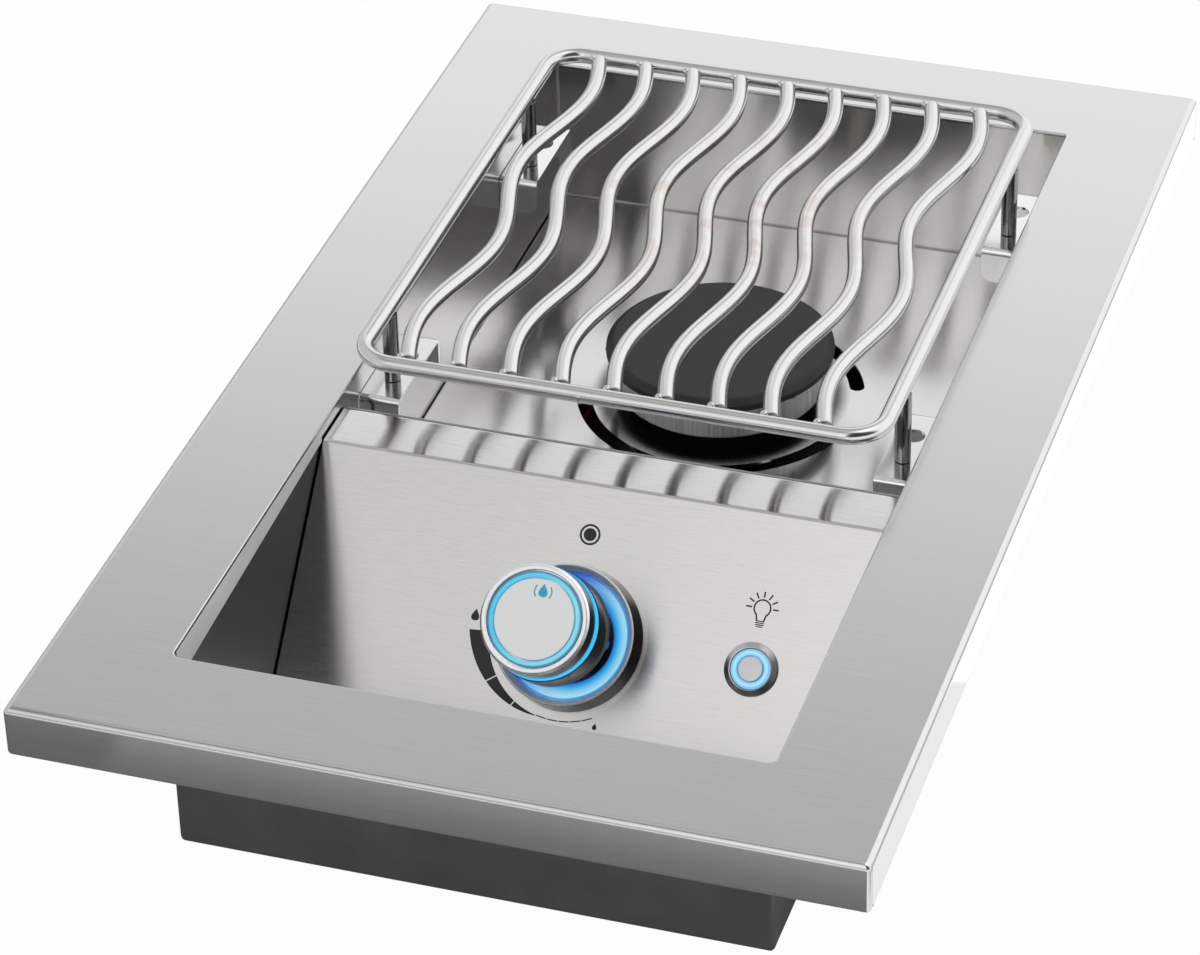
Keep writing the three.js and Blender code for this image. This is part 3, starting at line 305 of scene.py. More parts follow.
def piece(name, mesh, body, material, replaced=(), sharp=32, cuts=()):
    obj = bpy.data.objects.new(name, meshData(name, mesh, sharp))
    scene.collection.objects.link(obj)
    if cuts:
        cutAway(obj, cuts, sharp)
    obj.data.materials.append(material)
    flats = obj.modifiers.new("flats", "WEIGHTED_NORMAL")    # large faces stay flat beside their bends
    flats.keep_sharp, flats.weight = True, 85
    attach(obj, body)
    if replaced:
        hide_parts(*replaced)
    return obj


def cutAway(obj, cuts, sharp):
    tool = bpy.data.objects.new("tool", meshData("tool", merged(cuts), sharp))
    scene.collection.objects.link(tool)
    change = obj.modifiers.new("cut", "BOOLEAN")
    change.operation, change.object, change.solver = "DIFFERENCE", tool, "EXACT"
    change.use_self = True
    bpy.context.view_layer.update()
    view = obj.evaluated_get(bpy.context.evaluated_depsgraph_get())
    data = bpy.data.meshes.new_from_object(view)
    obj.modifiers.clear()
    old = obj.data
    obj.data = data
    bpy.data.meshes.remove(old)
    bpy.data.objects.remove(tool)
    smooth(obj.data, sharp)


print("side burner: mesh tools ready")


# small nodes that the finishes and the studio share
def put(tree, socket, item):
    # a number, a vector, a colour or another node's output
    if isinstance(item, bpy.types.NodeSocket):
        tree.links.new(item, socket)
    elif socket.type == "RGBA":
        socket.default_value = (*item, 1)
    else:
        socket.default_value = item


def node(tree, kind, inputs=None, **settings):
    made = tree.nodes.new(kind)
    for key, value in settings.items():
        setattr(made, key, value)
    for label, item in (inputs or {}).items():
        put(tree, made.inputs[label], item)
    return made


def math1(tree, operation, a, b=None):
    inputs = {0: a} if b is None else {0: a, 1: b}
    return node(tree, "ShaderNodeMath", inputs, operation=operation).outputs[0]


def vector1(tree, operation, a, b=None):
    inputs = {0: a} if b is None else {0: a, 1: b}
    made = node(tree, "ShaderNodeVectorMath", inputs, operation=operation)
    return made.outputs["Value" if operation in ("DOT_PRODUCT", "DISTANCE", "LENGTH") else "Vector"]


def mapped(tree, value, start, end, low=0.0, high=1.0, soft=False):
    inputs = {"Value": value, "From Min": start, "From Max": end, "To Min": low, "To Max": high}
    kind = "SMOOTHSTEP" if soft else "LINEAR"
    return node(tree, "ShaderNodeMapRange", inputs, interpolation_type=kind).outputs[0]


def mixed(tree, share, first, second):
    return node(tree, "ShaderNodeMix", {0: share, 2: first, 3: second}, data_type="FLOAT").outputs[0]


def mixedColour(tree, share, first, second):
    return node(tree, "ShaderNodeMix", {0: share, 6: first, 7: second}, data_type="RGBA").outputs[2]


def noise1(tree, place, scale, detail, roughness=0.5):
    inputs = {"Vector": place, "Scale": scale, "Detail": detail, "Roughness": roughness}
    return node(tree, "ShaderNodeTexNoise", inputs).outputs[0]


def ownPlace(tree):
    return node(tree, "ShaderNodeTexCoord").outputs["Object"]


def ownNormal(tree):
    return node(tree, "ShaderNodeNewGeometry").outputs["Normal"]


# shader groups: effects that several finishes share
def newGroup(name, inputs, outputs):
    tree = bpy.data.node_groups.new(name, "ShaderNodeTree")
    for label, value in inputs.items():
        kind = "NodeSocketVector" if isinstance(value, tuple) else "NodeSocketFloat"
        tree.interface.new_socket(label, in_out="INPUT", socket_type=kind).default_value = value
    for label in outputs:
        tree.interface.new_socket(label, in_out="OUTPUT", socket_type="NodeSocketFloat")
    return tree, tree.nodes.new("NodeGroupInput").outputs, tree.nodes.new("NodeGroupOutput").inputs


def makeBrushLines():
    # fine lines left by a belt, along X on level and front faces, along Z on side faces; sizes in mm
    tree, into, out = newGroup("brushLines", {"Width": 0.5, "Length": 40.0, "Upright": 0.0}, ["Lines"])
    towardsX = node(tree, "ShaderNodeSeparateXYZ", {0: ownNormal(tree)}).outputs["X"]
    sideways = math1(tree, "GREATER_THAN", math1(tree, "ABSOLUTE", towardsX), 0.75)
    sideways = math1(tree, "MAXIMUM", sideways, into["Upright"])
    thin, long = [math1(tree, "DIVIDE", 1 / mm, into[label]) for label in ("Width", "Length")]
    noises = []
    for order in ((long, thin, thin), (thin, thin, long)):
        scale = node(tree, "ShaderNodeCombineXYZ", dict(enumerate(order))).outputs[0]
        noises.append(noise1(tree, vector1(tree, "MULTIPLY", ownPlace(tree), scale), 1.0, 2.5, 0.62))
    put(tree, out["Lines"], mixed(tree, sideways, *noises))
    return tree


def makeSpeckle():
    # an even fine grain, and wide patches, for enamel, castings and moulded plastic; size in mm
    tree, into, out = newGroup("speckle", {"Size": 0.6}, ["Grain", "Patches"])
    for label, factor, detail in (("Grain", 1.0, 3.0), ("Patches", 0.04, 2.0)):
        scale = math1(tree, "MULTIPLY", math1(tree, "DIVIDE", 1 / mm, into["Size"]), factor)
        put(tree, out[label], noise1(tree, ownPlace(tree), scale, detail))
    return tree


def makePaintedLightSide():
    # how far a point lies towards the lower right of its part, as seen by someone at the controls; painted
    # light and painted shade change along it
    inputs = {"Centre": (0.0, 0.0, 0.0), "From": -10.0, "To": 10.0}
    tree, into, out = newGroup("paintedLightSide", inputs, ["Share"])
    offset = vector1(tree, "SUBTRACT", ownPlace(tree), into["Centre"])
    along = math1(tree, "MULTIPLY", vector1(tree, "DOT_PRODUCT", offset, paintedLightWay), 1 / mm)
    put(tree, out["Share"], mapped(tree, along, into["From"], into["To"], soft=True))
    return tree


def makeBurnerReach():
    # marks what lies near an upright axis, for the heat tint on the wire and the painted shade on the floor
    # under the burner cap
    inputs = {"Centre": (0.0, 0.0, 0.0), "Whole": 20.0, "None": 90.0}
    tree, into, out = newGroup("burnerReach", inputs, ["Share"])
    flat = vector1(tree, "MULTIPLY", ownPlace(tree), (1, 1, 0))
    away = math1(tree, "MULTIPLY", vector1(tree, "DISTANCE", flat, into["Centre"]), 1 / mm)
    put(tree, out["Share"], mapped(tree, away, into["None"], into["Whole"], soft=True))
    return tree


panelSlope = 47.0               # degrees
burnerMiddle = (0.0, 100.5)
slopeSin, slopeCos = math.sin(math.radians(panelSlope)), math.cos(math.radians(panelSlope))
outward = (0.0, -slopeSin, slopeCos)
# the way across a part towards its lower right, along which painted light and painted shade change
paintedLightWay = (0.88, -0.47 * slopeCos, -0.47 * slopeSin)
brushLines = makeBrushLines()
speckle = makeSpeckle()
paintedLightSide = makePaintedLightSide()
burnerReach = makeBurnerReach()


# finishes
noiseRange, toneRange = (0.3, 0.7), (0.28, 0.72)     # the part of a noise that roughness and colour follow
lineDepth, grainDepth = 0.02, 0.05                   # mm


def newTree(name):
    material = bpy.data.materials.new(name)
    material.use_nodes = True
    material.node_tree.nodes.clear()
    return material, material.node_tree


def newMaterial(name, colour, roughness, metallic, **more):
    material, tree = newTree(name)
    inputs = {"Base Color": colour, "Roughness": roughness, "Metallic": metallic}
    inputs.update({label.replace("_", " "): value for label, value in more.items()})
    shader = node(tree, "ShaderNodeBsdfPrincipled", inputs)
    node(tree, "ShaderNodeOutputMaterial", {"Surface": shader.outputs[0]})
    material.diffuse_color = (*colour, 1)
    return material, tree, shader


def spread(tree, value, low, high):
    # maps a noise value onto a range of roughness
    return mapped(tree, value, *noiseRange, low, high)


def shaded(tree, value, colour, vary):
    # a colour that grows darker and lighter by its share with a noise value
    ramp = node(tree, "ShaderNodeValToRGB", {0: value})
    dark, light = [tuple(min(c * factor, 1) for c in colour) for factor in (1 - vary, 1 + vary)]
    for element, place, tone in zip(ramp.color_ramp.elements, toneRange, (dark, light)):
        element.position, element.color = place, (*tone, 1)
    return ramp.outputs[0]


def bumped(tree, shader, value, strength, distance):
    bump = node(tree, "ShaderNodeBump", {"Strength": strength, "Distance": distance * mm, "Height": value})
    put(tree, shader.inputs["Normal"], bump.outputs[0])


def grainDirection(tree, shader):
    # the belt ran along X and turns with the sheet over a fold; highlights spread across its lines
    normal = ownNormal(tree)
    turned = vector1(tree, "CROSS_PRODUCT", (0, 1, 0), normal)
    lines = vector1(tree, "ADD", (1.2, 0, 0), turned)
    across = vector1(tree, "CROSS_PRODUCT", normal, lines)
    put(tree, shader.inputs["Tangent"], vector1(tree, "NORMALIZE", across))


def paintedLightShare(tree, centre, start, end):
    # 0 to 1 from the upper left of a round part to its lower right, between two distances in mm; the share of
    # painted light or painted shade mixed in
    inputs = {"Centre": centre, "From": start, "To": end}
    return node(tree, "ShaderNodeGroup", inputs, node_tree=paintedLightSide).outputs["Share"]


def nearBurner(tree, middle, whole, none):
    # 1 close to the burner's axis, fading to 0 further out; distances in mm
    inputs = {"Centre": (middle[0] * mm, middle[1] * mm, 0), "Whole": whole, "None": none}
    return node(tree, "ShaderNodeGroup", inputs, node_tree=burnerReach).outputs["Share"]


def brushedFinish(name, look):
    metal, stretch = look.get("metal", 1.0), look["stretch"]
    material, tree, shader = newMaterial(name, look["colour"], look["rough"][0], metal, Anisotropic=stretch)
    inputs = {"Width": look["line"], "Length": look["length"], "Upright": look.get("upright", 0.0)}
    lines = node(tree, "ShaderNodeGroup", inputs, node_tree=brushLines).outputs["Lines"]
    colour = shaded(tree, lines, look["colour"], look["streak"])
    # painted shade: the sheet darkens round the burner, under its cap
    if "capShade" in look:
        colour = mixedColour(tree, nearBurner(tree, burnerMiddle, *look["capShadeReach"]), colour, look["capShade"])
    put(tree, shader.inputs["Base Color"], colour)
    put(tree, shader.inputs["Roughness"], spread(tree, lines, *look["rough"]))
    bumped(tree, shader, lines, look["bump"], lineDepth)
    grainDirection(tree, shader)
    return material


def grainyFinish(name, look):
    material, tree, shader = newMaterial(name, look["colour"], look["rough"][0], look["metal"])
    grain = node(tree, "ShaderNodeGroup", {"Size": look["grain"]}, node_tree=speckle).outputs
    colour = shaded(tree, grain["Patches"], look["colour"], look["vary"])
    # painted shade: the colour darkens towards the lower right of the part
    if "paintedShade" in look:
        share = paintedLightShare(tree, look["paintedShadeCentre"], *look["paintedShadeReach"])
        colour = mixedColour(tree, share, colour, look["paintedShade"])
    put(tree, shader.inputs["Base Color"], colour)
    put(tree, shader.inputs["Roughness"], spread(tree, grain["Patches"], *look["rough"]))
    bumped(tree, shader, grain["Grain"], look["bump"], grainDepth)
    return material


# brushed sheet: line and length are the size of its lines in mm, streak is how much they change the colour
steelLook = {
    "colour": (0.70, 0.70, 0.70), "rough": (0.125, 0.15), "stretch": 0.85,
    "line": 0.35, "length": 40.0, "streak": 0.02, "bump": 0.02,
}
panelLook = {
    **steelLook, "colour": (0.68, 0.672, 0.658), "rough": (0.17, 0.21),
    "line": 0.4, "length": 10.0, "streak": 0.06, "bump": 0.08,
}
innerLook = {**steelLook, "colour": (0.88, 0.875, 0.87), "rough": (0.12, 0.16)}
# painted shade under the burner cap: darkest within 53 mm of its axis, gone by 61 mm
floorLook = {**innerLook, "capShade": (0.13, 0.13, 0.125), "capShadeReach": (53.0, 61.0)}
steel = brushedFinish("brushedSteel", steelLook)
panelSteel = brushedFinish("panelSteel", panelLook)
# painted light: a lighter copy of the panel's steel for its level strip, which faces up
litStripSteel = brushedFinish("litStripSteel", {**panelLook, "colour": (0.82, 0.815, 0.80), "rough": (0.11, 0.14)})
innerSteel = brushedFinish("innerSteel", innerLook)
floorSteel = brushedFinish("floorSteel", floorLook)
wallSteel = brushedFinish("wallSteel", {**steelLook, "colour": (0.64, 0.635, 0.61), "rough": (0.14, 0.18)})


# plain metals and plastics: grain is its size in mm, vary is how much it changes the colour
def metalFinish(name, colour, rough, grain, vary, bump, metal=1.0):
    look = {"colour": colour, "rough": rough, "metal": metal, "grain": grain, "vary": vary, "bump": bump}
    return grainyFinish(name, look)


def plainFinish(name, colour, rough, grain, vary, bump):
    return metalFinish(name, colour, rough, grain, vary, bump, 0.0)


chromeLook = {
    "colour": (0.93, 0.93, 0.935), "rough": (0.05, 0.08), "metal": 1.0,
    "grain": 3.0, "vary": 0.01, "bump": 0.01,
}
darkChromeLook = {**chromeLook, "colour": (0.05, 0.05, 0.055), "rough": (0.07, 0.11), "vary": 0.02}
chrome = grainyFinish("chrome", chromeLook)
darkChrome = grainyFinish("darkChrome", darkChromeLook)
lipSteel = metalFinish("lipSteel", (0.92, 0.915, 0.90), (0.5, 0.56), 0.8, 0.04, 0.05, 0.3)
# painted shade: the fire box's outside is a darkened steel, for the shade under the trim
shadedBoxSteel = metalFinish("shadedBoxSteel", (0.24, 0.24, 0.24), (0.42, 0.5), 0.8, 0.06, 0.05)
zinc = metalFinish("zincSheet", (0.42, 0.44, 0.46), (0.38, 0.5), 1.5, 0.14, 0.05)
casting = metalFinish("castAluminium", (0.48, 0.48, 0.475), (0.42, 0.55), 0.5, 0.08, 0.3)
brass = metalFinish("brass", (0.52, 0.34, 0.11), (0.26, 0.36), 0.7, 0.08, 0.05)
springSteel = metalFinish("springSteel", (0.45, 0.45, 0.46), (0.28, 0.34), 1.0, 0.04, 0.05)
enamel = plainFinish("blackEnamel", (0.032, 0.031, 0.033), (0.42, 0.52), 0.5, 0.12, 0.16)
plastic = plainFinish("blackPlastic", (0.018, 0.018, 0.019), (0.45, 0.58), 0.4, 0.1, 0.2)
leadJacket = plainFinish("leadJacket", (0.26, 0.03, 0.02), (0.45, 0.55), 0.6, 0.1, 0.1)
ceramic = plainFinish("glazedCeramic", (0.80, 0.76, 0.67), (0.2, 0.3), 0.6, 0.04, 0.05)
ink = plainFinish("printInk", (0.012, 0.012, 0.013), (0.35, 0.45), 0.4, 0.1, 0.05)
pointerInk = plainFinish("pointerInk", (0.04, 0.55, 0.84), (0.3, 0.4), 0.4, 0.05, 0.03)

wireLook = {
    "colour": (0.71, 0.705, 0.70), "rough": (0.16, 0.24), "grain": 1.0, "bump": 0.16,
    "heat": 0.55, "heatTint": (0.62, 0.52, 0.45), "heatReach": (20, 95),
    "patchScale": 70.0, "patchEdge": (0.46, 0.64),
}


def wireFinish(name, look):
    # bright drawn wire; above the burner the heat has tinted it in patches
    material, tree, shader = newMaterial(name, look["colour"], look["rough"][0], 1.0)
    grain = node(tree, "ShaderNodeGroup", {"Size": look["grain"]}, node_tree=speckle).outputs
    near = nearBurner(tree, burnerMiddle, *look["heatReach"])
    patches = noise1(tree, ownPlace(tree), look["patchScale"], 3.0)
    spots = mapped(tree, patches, *look["patchEdge"], soft=True)
    amount = math1(tree, "MULTIPLY", math1(tree, "MULTIPLY", near, spots), look["heat"])
    put(tree, shader.inputs["Base Color"], mixedColour(tree, amount, look["colour"], look["heatTint"]))
    put(tree, shader.inputs["Roughness"], spread(tree, grain["Patches"], *look["rough"]))
    bumped(tree, shader, grain["Grain"], look["bump"], grainDepth)
    return material


wire = wireFinish("brightWire", wireLook)


def glowFinish(name, look):
    # lit plastic: colours by the distance from its own axis, with painted light and shade: deeper towards the
    # upper left, paler towards the lower right
    material, tree, shader = newMaterial(name, look["colour"], 0.25, 0.0, Emission_Strength=look["strength"])
    offset = vector1(tree, "SUBTRACT", ownPlace(tree), look["centre"])
    along = vector1(tree, "DOT_PRODUCT", offset, outward)
    squares = [math1(tree, "POWER", value, 2.0) for value in (vector1(tree, "LENGTH", offset), along)]
    radius = math1(tree, "SQRT", math1(tree, "MAXIMUM", math1(tree, "SUBTRACT", *squares), 0.0))
    low, high = look["stops"][0][0], look["stops"][-1][0]
    share = mapped(tree, radius, low * mm, high * mm)
    ramps = []
    for stops in (look["stops"], look.get("paintedLightStops", look["stops"])):     # (radius in mm, colour)
        ramp = node(tree, "ShaderNodeValToRGB", {0: share})
        while len(ramp.color_ramp.elements) < len(stops):
            ramp.color_ramp.elements.new(0.5)
        for element, (r, colour) in zip(ramp.color_ramp.elements, stops):
            element.position, element.color = (r - low) / (high - low), (*colour, 1)
        ramps.append(ramp.outputs[0])
    # painted light and shade: the paler colours are mixed in towards the lower right of the part
    side = paintedLightShare(tree, look["centre"], -0.6 * high, 0.6 * high)
    put(tree, shader.inputs["Emission Color"], mixedColour(tree, side, *ramps))
    return material


print("side burner: finishes ready")


# sizes shared by the pieces, in mm
seat = 0.3                      # gap between a piece and what it rests on
overrun = 3.0                   # how far a cutting tool reaches past the sheet
box = {"openX": 126.0, "openY": 248.5, "sheet": 1.2, "top": 92.0}
panel = {
    "top": 85.0, "rear": -50.0, "strip": 27.0, "halfWidth": 125.2, "lip": 9.0, "foot": 12.0, "inner": 1.3,
    "down": 66.5, "stemHole": 6.0, "screwHole": 2.4, "screwX": 14.0, "switchX": 79.4, "switchHole": 9.7,
    "notchX": 126.0, "notch": 5.0, "notchRear": -140.0, "notchFront": -200.0,
}
controlY = panel["rear"] - panel["strip"] - panel["down"] * slopeCos
controlZ = panel["top"] - panel["down"] * slopeSin
panelFrame = Matrix.Translation((0, controlY, controlZ)) @ Matrix.Rotation(math.radians(panelSlope), 4, "X")
switchFrame = panelFrame @ Matrix.Translation((panel["switchX"], 0, 0))


def slab(x0, x1, y0, y1, low, high):
    return prism([(x0, y0), (x1, y0), (x1, y1), (x0, y1)], low, high)


def roundHole(radius, x, y, top, sides=32):
    # the tool for a hole through a level sheet whose face is at the given height
    tool = prism(circle(radius, sides), top - box["sheet"] - overrun, top + overrun)
    return moved(tool, Matrix.Translation((x, y, 0)))


# trim frame
trim = {
    "width": 356.0, "depth": 599.0, "skirt": 23.6, "bend": 3.0, "corner": 1.8, "edge": 0.8,
    "openFront": 4.0, "openRear": 1.0, "hem": 14.0, "hemBend": 2.0,
}
seam = {"fromEnd": 0.25, "past": 1.0, "width": 0.3, "depth": 0.7, "belowTop": 1.4,
        "reliefWidth": 2.4, "reliefDepth": 1.6, "reliefHeight": 2.6}
lip = {"frontGap": 4.5, "rearGap": 1.0, "inset": 0.25, "clear": 0.02,
       "frontLow": 76.5, "rearLow": 84.6, "top": 90.4}


def trimFrame():
    t, thick, top, base = trim, box["sheet"], box["top"], box["top"] - trim["skirt"]
    shares = quarterShares(10)
    innerHem, innerBend = t["hemBend"] - thick, t["bend"] - thick

    def edge(inset, z):
        halfX, halfY = t["width"] / 2 - inset, t["depth"] / 2 - inset
        return roundedRing(halfX, -halfY, halfY, z, t["corner"], t["corner"])

    def opening(back, z):
        halfX, halfY = box["openX"] + back, box["openY"] + back
        return roundedRing(halfX, -halfY, halfY, z, t["openFront"] + back, t["openRear"] + back)

    rings = [opening(0, top - thick)]
    rings += [opening(t["edge"] * (1 - up), top - t["edge"] * (1 - across)) for across, up in shares]
    rings += [edge(t["bend"] * (1 - across), top - t["bend"] * (1 - up)) for across, up in shares]
    rings += [edge(t["hemBend"] * (1 - up), base + t["hemBend"] * (1 - across)) for across, up in shares]
    rings += [edge(t["hem"], base), edge(t["hem"], base + thick)]
    rings += [edge(thick + innerHem * (1 - up), base + thick + innerHem * (1 - across))
              for across, up in reversed(shares)]
    rings += [edge(thick + innerBend * (1 - across), top - thick - innerBend * (1 - up))
              for across, up in reversed(shares)]
    return loft(rings, True)


def cornerSeams():
    # the upright seam where the side skirts meet the front and rear ones, with a small relief at its foot
    t, s, cuts = trim, seam, []
    low, high = box["top"] - t["skirt"], box["top"]
    slits = ((s["width"], s["depth"], high - s["belowTop"]),
             (s["reliefWidth"], s["reliefDepth"], low + s["reliefHeight"]))
    for sideX in (-1, 1):
        for sideY in (-1, 1):
            wall, end = sideX * t["width"] / 2, sideY * (t["depth"] / 2 - t["corner"] - s["fromEnd"])
            for width, deep, head in slits:
                x0, x1 = sorted((wall - sideX * deep, wall + sideX * s["past"]))
                y0, y1 = sorted((end - sideY * width, end))
                cuts.append(slab(x0, x1, y0, y1, low - s["past"], head))
    return cuts


def openingLip(side):
    # the lip folded down inside the opening, beside the recess: it tapers towards the panel
    front, rear = lip["frontGap"] - box["openY"], panel["rear"] - panel["strip"] - lip["rearGap"]
    face, back = side * (box["openX"] - lip["inset"]), side * (box["openX"] - lip["clear"])
    outline = [(front, lip["frontLow"]), (rear, lip["rearLow"]), (rear, lip["top"]), (front, lip["top"])]
    return prism(outline, min(face, back), max(face, back), lambda p, h: (h, p[0], p[1]))


piece("trimFrame", trimFrame(), "body", steel, ["trim_frame"], cuts=cornerSeams())
for hand, side in (("Left", -1), ("Right", 1)):
    piece("openingLip" + hand, openingLip(side), "body", lipSteel)


# fire box: dull outside, darkened as painted shade under the trim, brushed inside
fireBox = {
    "bend": 3.5, "flange": 14.0, "corner": 2.2, "leastCorner": 0.5, "frontReach": 5.0,
    "ventRadius": 6.0, "vents": ((-62, 35.5), (62, 35.5), (-62, 165.5), (62, 165.5)),
    "inletX": 95.0, "inletHole": 5.3, "socketX": 60.0, "socketHole": 5.1, "holeZ": 9.25,
}


def fireBoxMesh():
    f, thick = fireBox, box["sheet"]
    halfX, halfY, top = box["openX"] + thick, box["openY"] + thick, box["top"] - thick - seat
    shares = quarterShares(8)
    inner = f["bend"] - thick

    def ring(inset, z):
        corner = max(f["corner"] - inset, f["leastCorner"])
        return roundedRing(halfX - inset, inset - halfY - f["frontReach"], halfY - inset, z, corner, corner)

    rings = [ring(f["bend"] * (1 - across), f["bend"] * (1 - up)) for across, up in shares]
    places = ((0, top - thick), (-f["flange"], top - thick), (-f["flange"], top), (thick, top))
    rings += [ring(inset, z) for inset, z in places]
    rings += [ring(thick + inner * (1 - across), thick + inner * (1 - up)) for across, up in reversed(shares)]
    return loft(rings)


def boxHoles():
    f = fireBox
    holes = [roundHole(f["ventRadius"], x, y, box["sheet"]) for x, y in f["vents"]]
    wall = box["openY"] + box["sheet"] / 2
    for x, r in ((f["inletX"], f["inletHole"]), (f["socketX"], f["socketHole"])):
        place = Matrix.Translation((x, wall, f["holeZ"])) @ Matrix.Rotation(math.pi / 2, 4, "X")
        holes.append(moved(prism(circle(r, 32), -overrun, overrun), place))
    return holes


def insideBox(centre, normal):
    # the inner faces of the walls and floor, and the top of the flange
    frontGap = -box["openY"] - fireBox["frontReach"] - centre.y
    past = max(abs(centre.x) - box["openX"], centre.y - box["openY"], frontGap)
    return (past < 0.1 and centre.z > box["sheet"] - 0.2) or (centre.z > panel["top"] and normal.z > 0)


fireShell = piece("fireBox", fireBoxMesh(), "body", shadedBoxSteel, ["fire_box"], cuts=boxHoles())
fireShell.data.materials.append(wallSteel)
for face in fireShell.data.polygons:
    face.material_index = 1 if insideBox(face.center / mm, face.normal) else 0
print("side burner: trim frame and fire box")


# burner floor; the notches in its flanges let tubes, leads and fittings through: (x, half width)
floor = {
    "top": 18.5, "bend": 1.4, "flange": 10.0, "corner": 1.0, "front": -47.9, "rear": 248.2, "halfX": 125.7,
    "slotRadius": 63.0, "slotWidth": 7.0, "web": 20.0,
    "baseHole": 9.5, "igniterHole": 3.7, "igniterY": 54.0, "studHole": 2.5, "studRadius": 24.0,
    "studAngles": (90, 210, 330), "notchTop": 2.5, "notchBelow": 2.0,
    "frontNotches": ((-60, 2.2), (0, 7.5), (60, 2.2), (95, 5.0)), "rearNotches": ((95, 8.5), (60, 6.6)),
}


def arcSlot(start, end):
    f, half = floor, floor["slotWidth"] / 2

    def tip(degrees, turned):
        angle = math.radians(degrees)
        middle = (f["slotRadius"] * math.cos(angle), f["slotRadius"] * math.sin(angle))
        return arc(middle, half, turned, turned + 180, 10)[1:-1]

    outline = arc((0, 0), f["slotRadius"] + half, start, end, 40) + tip(end, end)
    outline += arc((0, 0), f["slotRadius"] - half, end, start, 40) + tip(start, start + 180)
    tool = prism(outline, f["top"] - box["sheet"] - overrun, f["top"] + overrun)
    return moved(tool, Matrix.Translation((0, burnerMiddle[1], 0)))


def burnerFloor():
    f, thick = floor, box["sheet"]
    shares = quarterShares(8)
    low, inner = f["top"] - f["flange"], f["bend"] - thick

    def ring(inset, z):
        corner = f["corner"]
        return roundedRing(f["halfX"] - inset, f["front"] + inset, f["rear"] - inset, z, corner, corner, 4)

    rings = [ring(f["bend"] * (1 - across), f["top"] - f["bend"] * (1 - up)) for across, up in shares]
    rings += [ring(0, low), ring(thick, low)]
    rings += [ring(thick + inner * (1 - across), f["top"] - thick - inner * (1 - up))
              for across, up in reversed(shares)]
    return loft(rings)


def floorCuts():
    f, top, y = floor, floor["top"], burnerMiddle[1]
    cuts = [arcSlot(f["web"], 180 - f["web"]), arcSlot(180 + f["web"], 360 - f["web"])]
    cuts += [roundHole(f["baseHole"], 0, y, top), roundHole(f["igniterHole"], 0, y + f["igniterY"], top, 24)]
    for angle in f["studAngles"]:
        c, s = math.cos(math.radians(angle)), math.sin(math.radians(angle))
        cuts.append(roundHole(f["studHole"], f["studRadius"] * c, y + f["studRadius"] * s, top, 16))
    low, high = top - f["flange"] - f["notchBelow"], top - f["notchTop"]
    for edge, notches in ((f["front"], f["frontNotches"]), (f["rear"], f["rearNotches"])):
        cuts += [slab(x - half, x + half, edge - overrun, edge + overrun, low, high) for x, half in notches]
    return cuts


piece("burnerFloor", burnerFloor(), "body", floorSteel, ["burner_floor"], cuts=floorCuts())


# grate brackets
bracket = {
    "top": 79.0, "inner": 107.5, "outer": 125.7, "length": 54.0, "tab": 17.0, "sheet": 1.5, "bend": 1.3,
    "corner": 5.0, "fronts": {"front": -32.5, "rear": 159.5}, "hole": 5.0, "holeX": 116.0, "holeY": 36.0,
}


def bracketMesh(side, front):
    b = bracket
    low, rear = b["top"] - b["tab"], front + b["length"]
    corners = [(front, low), (front, b["top"]), (rear, b["top"]), (rear, low)]
    lines = folded(corners, b["sheet"], -1, b["bend"])
    return sheetAlong(lines, lambda p, end: (side * (b["outer"] if end else b["inner"]), p[0], p[1]))


def bracketCuts(side, front):
    # the rounded inner corner of both tabs, and the hole behind the leg
    b = bracket
    low, r, inner = b["top"] - b["tab"], b["corner"], b["inner"]
    outline = [(inner - overrun, low - overrun), (inner + r, low - overrun)]
    outline += arc((inner + r, low + r), r, 270, 180, 10) + [(inner - overrun, low + r)]
    notch = prism([(side * x, z) for x, z in outline], front - overrun, front + b["length"] + overrun,
                  lambda p, h: (p[0], h, p[1]))
    middle = (side * b["holeX"], front + b["holeY"])
    hole = prism(circle(b["hole"], 32, middle), b["top"] - b["sheet"] - overrun, b["top"] + overrun)
    return [notch, hole]


for end, front in bracket["fronts"].items():
    for hand, side in (("left", -1), ("right", 1)):
        name = "bracket" + end.capitalize() + hand.capitalize()
        piece(name, bracketMesh(side, front), "body", innerSteel,
              [f"grate_bracket_{end}_{hand}"], cuts=bracketCuts(side, front))


# control panel
def panelMesh():
    p, thick = panel, box["sheet"]
    front = p["rear"] - p["strip"]
    footTop = thick + seat + thick
    footRear = front - (p["top"] - footTop) * slopeCos / slopeSin
    corners = [(p["rear"], p["top"] - p["lip"]), (p["rear"], p["top"]), (front, p["top"]),
               (footRear, footTop), (footRear - p["foot"], footTop)]
    lines = folded(corners, thick, 1, p["inner"])
    return sheetAlong(lines, lambda q, end: (p["halfWidth"] * (1 if end else -1), q[0], q[1]))


def panelCuts():
    # holes for the stem, the switch and two screws, and a notch at each end of the foot
    p, notch = panel, panel["notch"]
    cuts = [moved(roundHole(p["stemHole"], 0, 0, 0), panelFrame)]
    cuts.append(moved(roundHole(p["switchHole"], 0, 0, 0), switchFrame))
    for side in (-1, 1):
        cuts.append(moved(roundHole(p["screwHole"], side * p["screwX"], 0, 0, 16), panelFrame))
        x = side * p["notchX"]
        cuts.append(slab(x - notch, x + notch, p["notchFront"], p["notchRear"], -notch, notch))
    return cuts


panelSheet = piece("controlPanel", panelMesh(), "body", panelSteel, ["control_panel"],
                   cuts=panelCuts())
